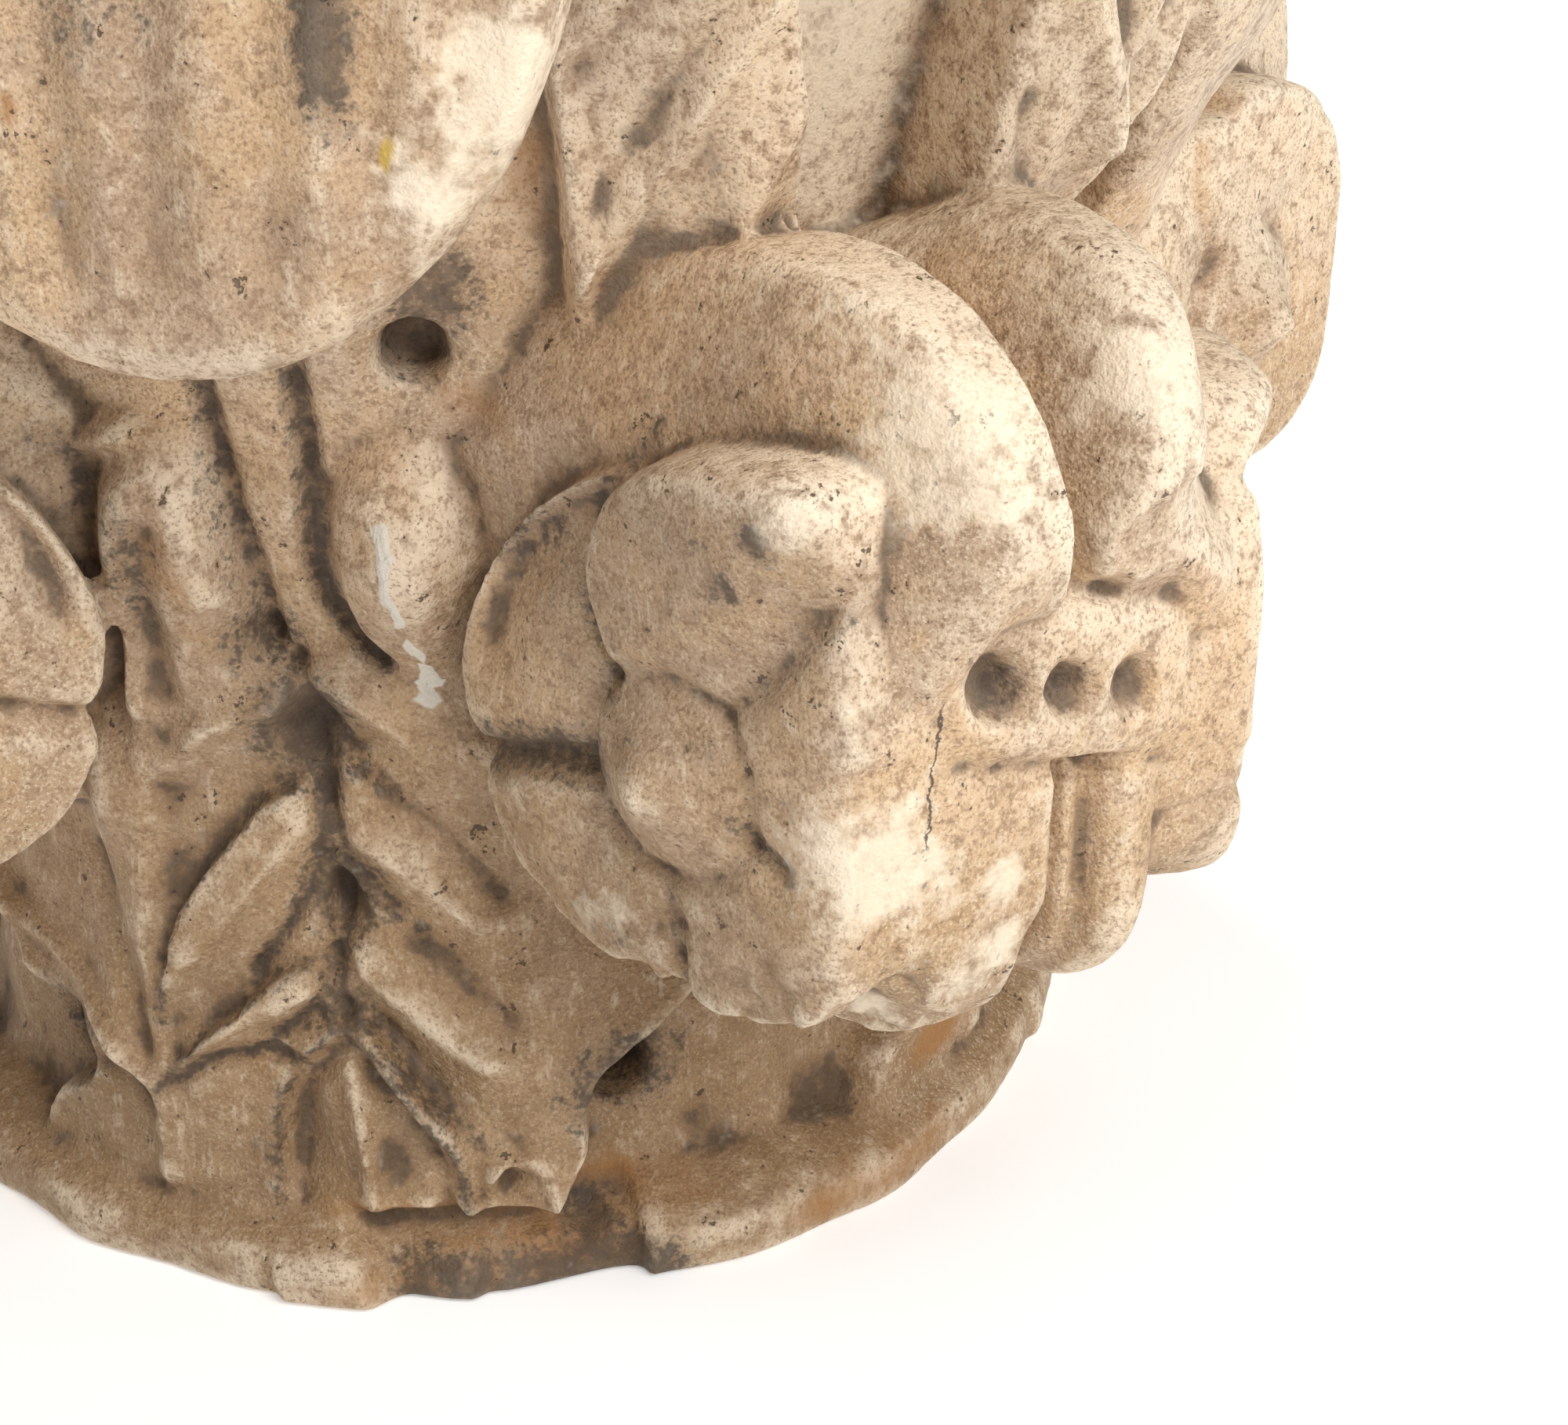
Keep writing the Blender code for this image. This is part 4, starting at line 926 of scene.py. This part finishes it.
for cx, cy, cz, size, pale in CHIPS:
    away = np.sqrt((outward - cx) ** 2 + (across - cy) ** 2 + (z - cz) ** 2)
    ragged = away + size * (0.40 * grain(place, 0.050, 11) + 0.25 * grain(place, 0.022, 13))
    chips_and_painted_light = np.maximum(chips_and_painted_light, pale * smooth(size * 1.35, size * 0.20, ragged))
# Painted highlight: the side turned up and to the right, toward the lamps, is made paler, and so are the top
# of the near scroll, the field between the upright leaves and the upper bell under the slab.
facing = 0.55 * normal[:, 2] + 0.62 * normal[:, 0] + 0.15 * normal[:, 1]
painted_highlight = smooth(-0.10, 0.75, facing) * smooth(0.75, 1.45, z)
painted_highlight = np.maximum(painted_highlight, np.maximum(1.1 * painted_scroll_light, 1.6 * painted_field_light))
painted_highlight = np.maximum(painted_highlight, 0.60 * smooth(1.58, 1.78, z) * (radius < 1.32))
# Painted shade together with the darker patina of the lower leaves, the near flower and the left flank of the
# near scroll: these lie in shade and are darkened.
shaded_flank = smooth(-.25, -.33, across) * smooth(1.28, 1.40, z)
shaded_flank = shaded_flank * smooth(0.90, 1.05, outward) * smooth(1.50, 1.40, outward)
patina_and_shade = np.maximum(on_flower * 0.65, on_bell * 0.75 * smooth(1.50, 1.35, z))
patina_and_shade = np.maximum(patina_and_shade, 0.8 * shaded_flank)

# Rust at the foot (degrees, height, half width, half height, strength), a red and an ochre spot on
# the front centre leaf, and a drip of pale paint on the right leaf (both ends, half width).
RUST_SPOTS = (
    (28, .13, .16, .04, .55), (33, .12, .14, .035, .55), (54, .05, .32, .06, .6), (68, .18, .10, .06, .8),
    (20, .13, .16, .035, .7), (7, .14, .16, .03, .5), (-6, .30, .07, .12, .25), (17, 1.46, .08, .06, .5),
    (-9, 1.2, .08, .16, .35), (6, .03, .22, .05, .4), (20, .06, .25, .07, .55), (21.5, 1.80, .05, .12, .6),
    (22, 1.95, .05, .08, .6),
)
DRIP = (
    (line((9.65, 1.30), (9.75, 1.285)), .011), (line((9.9, 1.27), (10.1, 1.225)), .005),
    (line((10.1, 1.215), (10.8, 1.13)), .007), (line((11.2, 1.105), (11.4, 1.085)), .009),
    (line((12.1, 1.045), (12.6, .995)), .013),
)
rust = on_tip * spot(x, z, -.085, 2.00, .035, .035)
for a, high, wide, tall, red in RUST_SPOTS:
    stain = spot(along, z, a * PER_DEGREE, high, wide * 1.3, tall * 1.3)
    rust = np.maximum(rust, red * (radius < 1.06) * stain)
from_ochre = np.hypot((x - .340) / .009, (z - 1.960) / .026)
ochre = on_tip * smooth(0.9, 0.4, from_ochre + 0.5 * grain(place, 0.02, 14))
drip = np.zeros(len(place))
for track, wide in DRIP:
    from_run = np.abs(off_line(along, z, track)) / wide + 0.25 * grain(place, 0.02, 12)
    drip = np.maximum(drip, smooth(1.35, 0.95, from_run) * on_bell)
marks = {
    "crease": evened(np.clip(crease, 0.0, 1.0), edge, 1)[:, 0],
    # Painted shade: broad hollows and the shaded places above are browned, along with their darker patina.
    "hollow_and_shade": np.maximum(smooth(0.004, 0.060, -broad), patina_and_shade),
    "rubbed": evened(np.clip(rubbed, 0.0, 1.0), edge, 1)[:, 0],
    "ink": ink, "chips_and_painted_light": chips_and_painted_light, "painted_highlight": painted_highlight, "rust": rust, "drip": drip, "ochre": ochre,
}
for name, values in marks.items():
    layer = mesh.attributes.new(name, "FLOAT", "POINT")
    layer.data.foreach_set("value", np.clip(values, 0.0, 1.0).astype(np.float32))
mesh.polygons.foreach_set("use_smooth", np.ones(len(mesh.polygons), dtype=bool))
mesh.update()

# Weathered marble.
# Warm beige-brown marble with a fine crystal grain, pale where it is rubbed or chipped, with blackish dirt in
# its creases and rust-coloured stains at its foot. Painted highlight pales the side turned toward the lamps,
# and painted shade browns its broad hollows, its lower parts and the sides turned away.


class Wire:
    """A shader value that takes part in plain arithmetic."""
    def __init__(self, socket):
        self.socket = socket

    def maths(self, operation, *values):
        return node("ShaderNodeMath", {"operation": operation}, *values)

    def __add__(self, other):
        return self.maths("ADD", self, other)

    def __radd__(self, other):
        return self.maths("ADD", other, self)

    def __sub__(self, other):
        return self.maths("SUBTRACT", self, other)

    def __rsub__(self, other):
        return self.maths("SUBTRACT", other, self)

    def __mul__(self, other):
        return self.maths("MULTIPLY", self, other)

    def __rmul__(self, other):
        return self.maths("MULTIPLY", other, self)

    def __abs__(self):
        return self.maths("ABSOLUTE", self)

    def ramp(self, low, high, most=1.0, least=0.0):
        """From least at low to most at high, with soft ends."""
        settings = {"interpolation_type": "SMOOTHSTEP"}
        return node("ShaderNodeMapRange", settings, self, low, high, least, most)


material = bpy.data.materials.new("weathered_marble")
material.use_nodes = True
tree = material.node_tree
tree.nodes.clear()


def node(kind, settings=None, *values, out=0, **named):
    """A node of the marble; its settings first, then the values or wires of its sockets, None for unset."""
    item = tree.nodes.new(kind)
    for name, value in (settings or {}).items():
        setattr(item, name, value)
    for key, value in list(enumerate(values)) + list(named.items()):
        if value is None:
            continue
        socket = item.inputs[key.replace("_", " ") if isinstance(key, str) else key]
        if isinstance(value, Wire):
            tree.links.new(value.socket, socket)
        else:
            socket.default_value = value
    return Wire(item.outputs[out]) if item.outputs else None


where = node("ShaderNodeTexCoord", out="Object")


def mottle(size, detail, roughness=0.55, stretch=None):
    """Random spots of about the given size in millimetres, around one half."""
    at = node("ShaderNodeMapping", None, where, Scale=stretch) if stretch else where
    sockets = {"Vector": at, "Scale": 1000.0 / size, "Detail": detail, "Roughness": roughness}
    return node("ShaderNodeTexNoise", **sockets)


def blend(factor, first, second):
    """The first colour, turned into the second as the factor goes from 0 to 1."""
    number_sockets = (None,) * 5   # left as they are
    return node("ShaderNodeMix", {"data_type": "RGBA"}, factor, *number_sockets, first, second, out=2)


def kept_mark(name):
    """One of the marks kept with the mesh."""
    return node("ShaderNodeAttribute", {"attribute_name": name}, out="Fac")


crease, hollow_and_shade, rubbed = kept_mark("crease"), kept_mark("hollow_and_shade"), kept_mark("rubbed")
ink, chips_and_painted_light, rust, drip = kept_mark("ink"), kept_mark("chips_and_painted_light"), kept_mark("rust"), kept_mark("drip")
painted_highlight, ochre = kept_mark("painted_highlight"), kept_mark("ochre")
height = node("ShaderNodeSeparateXYZ", None, where, out="Z")
cloud = mottle(55.0, 2.0)
patch = mottle(13.0, 3.0, 0.6)
speck = mottle(3.6, 2.0, 0.65)
grit = mottle(1.5, 2.0, 0.7)
crystal = mottle(0.7, 1.0, 0.7)
streak = mottle(5.0, 2.0, 0.7, stretch=(3.0, 3.0, 0.35))

BEIGE = (0.66, 0.456, 0.284, 1.0)
TAN = (0.57, 0.375, 0.190, 1.0)
OCHRE = (0.40, 0.262, 0.120, 1.0)
GREY = (0.48, 0.342, 0.226, 1.0)
BROWN = (0.20, 0.112, 0.054, 1.0)
CREAM = (0.86, 0.74, 0.575, 1.0)
SOOT = (0.058, 0.037, 0.023, 1.0)
RUST = (0.33, 0.150, 0.040, 1.0)
PAINT = (0.66, 0.605, 0.52, 1.0)
MUSTARD = (0.47, 0.31, 0.05, 1.0)
colour = blend(cloud.ramp(0.42, 0.60, 0.8), GREY, BEIGE)
colour = blend((patch + 0.4 * cloud).ramp(0.62, 0.84, 0.50), colour, TAN)
# The lower the place, the browner and darker: its old patina, and painted shade under the overhanging
# scrolls.
low_down = height.ramp(0.165, 0.045, 0.90) * (1.0 - rubbed * 0.6)
colour = blend(low_down * (patch * 2.2 + speck * 0.8 - 0.72), colour, BROWN)
# Painted shade in broad hollows and on the shaded parts.
colour = blend((hollow_and_shade + patch - 0.5).ramp(0.1, 1.0, 0.30), colour, BROWN)
colour = blend(height.ramp(0.190, 0.060, 0.35), colour, OCHRE)
# Painted highlight on the side turned toward the lamps.
colour = blend((painted_highlight + 0.5 * (patch + speck) - 0.5).ramp(0.15, 1.0, 0.62), colour, CREAM)
colour = blend((rubbed + 0.4 * speck).ramp(0.30, 1.10, 0.50), colour, CREAM)
colour = blend((streak * 0.5 + speck * 0.5).ramp(0.52, 0.66, 0.25), colour, CREAM)
# Fine speckle: dark and light crystals side by side.
colour = blend((speck + 0.5 * patch).ramp(0.74, 0.58, 0.32), colour, BROWN)
colour = blend((grit + 0.35 * speck).ramp(0.68, 0.48, 0.50), colour, BROWN)
colour = blend(crystal.ramp(0.44, 0.30, 0.55), colour, BROWN)
colour = blend(crystal.ramp(0.55, 0.70, 0.35) * (1.0 - hollow_and_shade * 0.7), colour, CREAM)
colour = blend((crease + 0.5 * (patch + speck) - 0.4).ramp(0.10, 0.90, 0.50), colour, BROWN)
colour = blend((crease + 1.2 * (patch + speck) - 1.0).ramp(0.60, 1.20, 0.70), colour, SOOT)
colour = blend((rust * 1.2 + patch - 0.6).ramp(0.05, 0.8, 0.85), colour, RUST)
# Dark dirt in creases, eyes and holes, with painted shadow in the pocket beside the left flower.
dirt_and_shadow = (ink * 1.3 + 1.7 * (speck + grit) - 1.75).ramp(0.05, 0.85, 0.85) * ink.ramp(0.0, 0.25)
colour = blend(dirt_and_shadow * (0.50 + patch * 0.30 + speck * 0.60), colour, SOOT)
pores = (mottle(6.0, 2.0, 0.5) * 0.5 + grit * 0.5).ramp(0.345, 0.315)
colour = blend(pores * 0.8, colour, SOOT)
# Pale chips, with painted light on the scroll top and the field between the leaves.
colour = blend((chips_and_painted_light + 0.9 * (speck - 0.5) + 0.9 * (patch - 0.5)).ramp(0.15, 0.80, 0.70), colour, CREAM)
colour = blend(drip.ramp(0.4, 0.6), colour, PAINT)
colour = blend(ochre.ramp(0.3, 0.7, 0.9), colour, MUSTARD)


def reach_toward(direction):
    """Distance from the axis along a direction, in metres."""
    return node("ShaderNodeVectorMath", {"operation": "DOT_PRODUCT"}, where, direction, out="Value")


# A fine crack runs down the stalk beside the near flower.
aside, outer = reach_toward((0.7071, 0.7071, 0.0)), reach_toward((0.7071, -0.7071, 0.0))
wander = mottle(7.0, 4.0, 0.75) - 0.5
offset = aside + 0.0280 + wander * 0.0060 + (height - 0.150) * -0.05
crack = abs(offset).ramp(0.00045, 0.00015) * outer.ramp(0.192, 0.196)
crack = crack * height.ramp(0.1345, 0.138) * height.ramp(0.1650, 0.1615)
colour = blend(crack * 0.9, colour, SOOT)

roughness = (patch * 0.4 + crystal * 0.3).ramp(0.2, 0.5, 0.82, 0.60)
relief = speck * 0.8 + grit * 0.55 + crystal * 0.30 + patch * 0.8 - pores * 0.6 + drip * 0.5
bump = node("ShaderNodeBump", None, Strength=0.75, Distance=0.0010, Height=relief)
shader = node("ShaderNodeBsdfPrincipled", None, Base_Color=colour, Roughness=roughness, Normal=bump)
node("ShaderNodeOutputMaterial", None, Surface=shader)

mesh.materials.append(material)
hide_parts("capital")
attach(stone, "root")

# The studio.
# A plain pale floor, four soft lights in front of the block and to its right, and a strong one
# behind it on its left, as for a catalogue picture. The camera looks down from the front right.
STUDIO_WHITE = (1.0, 1.0, 1.0, 1.0)
FLOOR_COLOUR = (0.90, 0.90, 0.90, 1.0)
FLOOR_GLOW, SKY_GLOW = 0.29, 0.12
LAMP_AIM = (0.0, 0.0, 0.17)        # metres: the middle of the block
LAMP_DISTANCE = 2.0
LAMP_COLOUR = (1.0, 0.99, 0.975)
LAMPS = (  # name, degrees from -Y toward +X, degrees above the aim, width in metres, watts
    ("right", 62, 35, 1.0, 12.5),
    ("corner", 38, 48, 0.8, 12.0),
    ("low", 40, 26, 1.0, 11.0),
    ("front", 5, 58, 1.0, 6.0),
    ("behind", 200, 60, 1.0, 49.0),
)
LENS, SENSOR_WIDTH = 70.59, 36.0   # millimetres
# The camera's place in bed radii and its own axes.
CAMERA_PLACE = (1.33856, -4.59478, 2.96722)
CAMERA_FORWARD = (-0.15079, 0.87595, -0.45823)
CAMERA_RIGHT = (0.98476, 0.17371, 0.00800)
CAMERA_UP = (-0.08661, 0.45004, 0.88880)

paint = bpy.data.materials.new("floor_paint")
paint.use_nodes = True
matt = paint.node_tree.nodes["Principled BSDF"]
for socket, value in (("Base Color", FLOOR_COLOUR), ("Roughness", 0.9), ("Emission Color", STUDIO_WHITE),
                      ("Emission Strength", FLOOR_GLOW)):
    matt.inputs[socket].default_value = value
bm = bmesh.new()
bmesh.ops.create_grid(bm, x_segments=1, y_segments=1, size=6.0)
bmesh.ops.translate(bm, verts=bm.verts, vec=(0.0, 2.0, -0.0002))
floor_mesh = bpy.data.meshes.new("floor")
bm.to_mesh(floor_mesh)
bm.free()
floor_mesh.materials.append(paint)
floor = bpy.data.objects.new("floor", floor_mesh)
bpy.context.scene.collection.objects.link(floor)

for name, around, above, size, power in LAMPS:
    around, above = math.radians(around), math.radians(above)
    level = math.cos(above)
    direction = Vector((math.sin(around) * level, -math.cos(around) * level, math.sin(above)))
    lamp = bpy.data.lights.new(name, "AREA")
    lamp.shape, lamp.size, lamp.energy, lamp.color = "DISK", size, power, LAMP_COLOUR
    item = bpy.data.objects.new(name, lamp)
    item.location = Vector(LAMP_AIM) + LAMP_DISTANCE * direction
    item.rotation_euler = (-direction).to_track_quat("-Z", "Y").to_euler()
    bpy.context.scene.collection.objects.link(item)

world = bpy.data.worlds.new("studio")
bpy.context.scene.world = world
world.use_nodes = True
world.node_tree.nodes["Background"].inputs["Color"].default_value = STUDIO_WHITE
world.node_tree.nodes["Background"].inputs["Strength"].default_value = SKY_GLOW
bpy.context.scene.view_settings.view_transform = "Standard"

camera = bpy.data.cameras.new("camera")
camera.lens, camera.sensor_width = LENS, SENSOR_WIDTH
viewer = bpy.data.objects.new("camera", camera)
turn = Matrix((CAMERA_RIGHT, CAMERA_UP, -Vector(CAMERA_FORWARD))).transposed().to_4x4()
viewer.matrix_world = Matrix.Translation(Vector(CAMERA_PLACE) * BED_RADIUS) @ turn
bpy.context.scene.collection.objects.link(viewer)
bpy.context.scene.camera = viewer
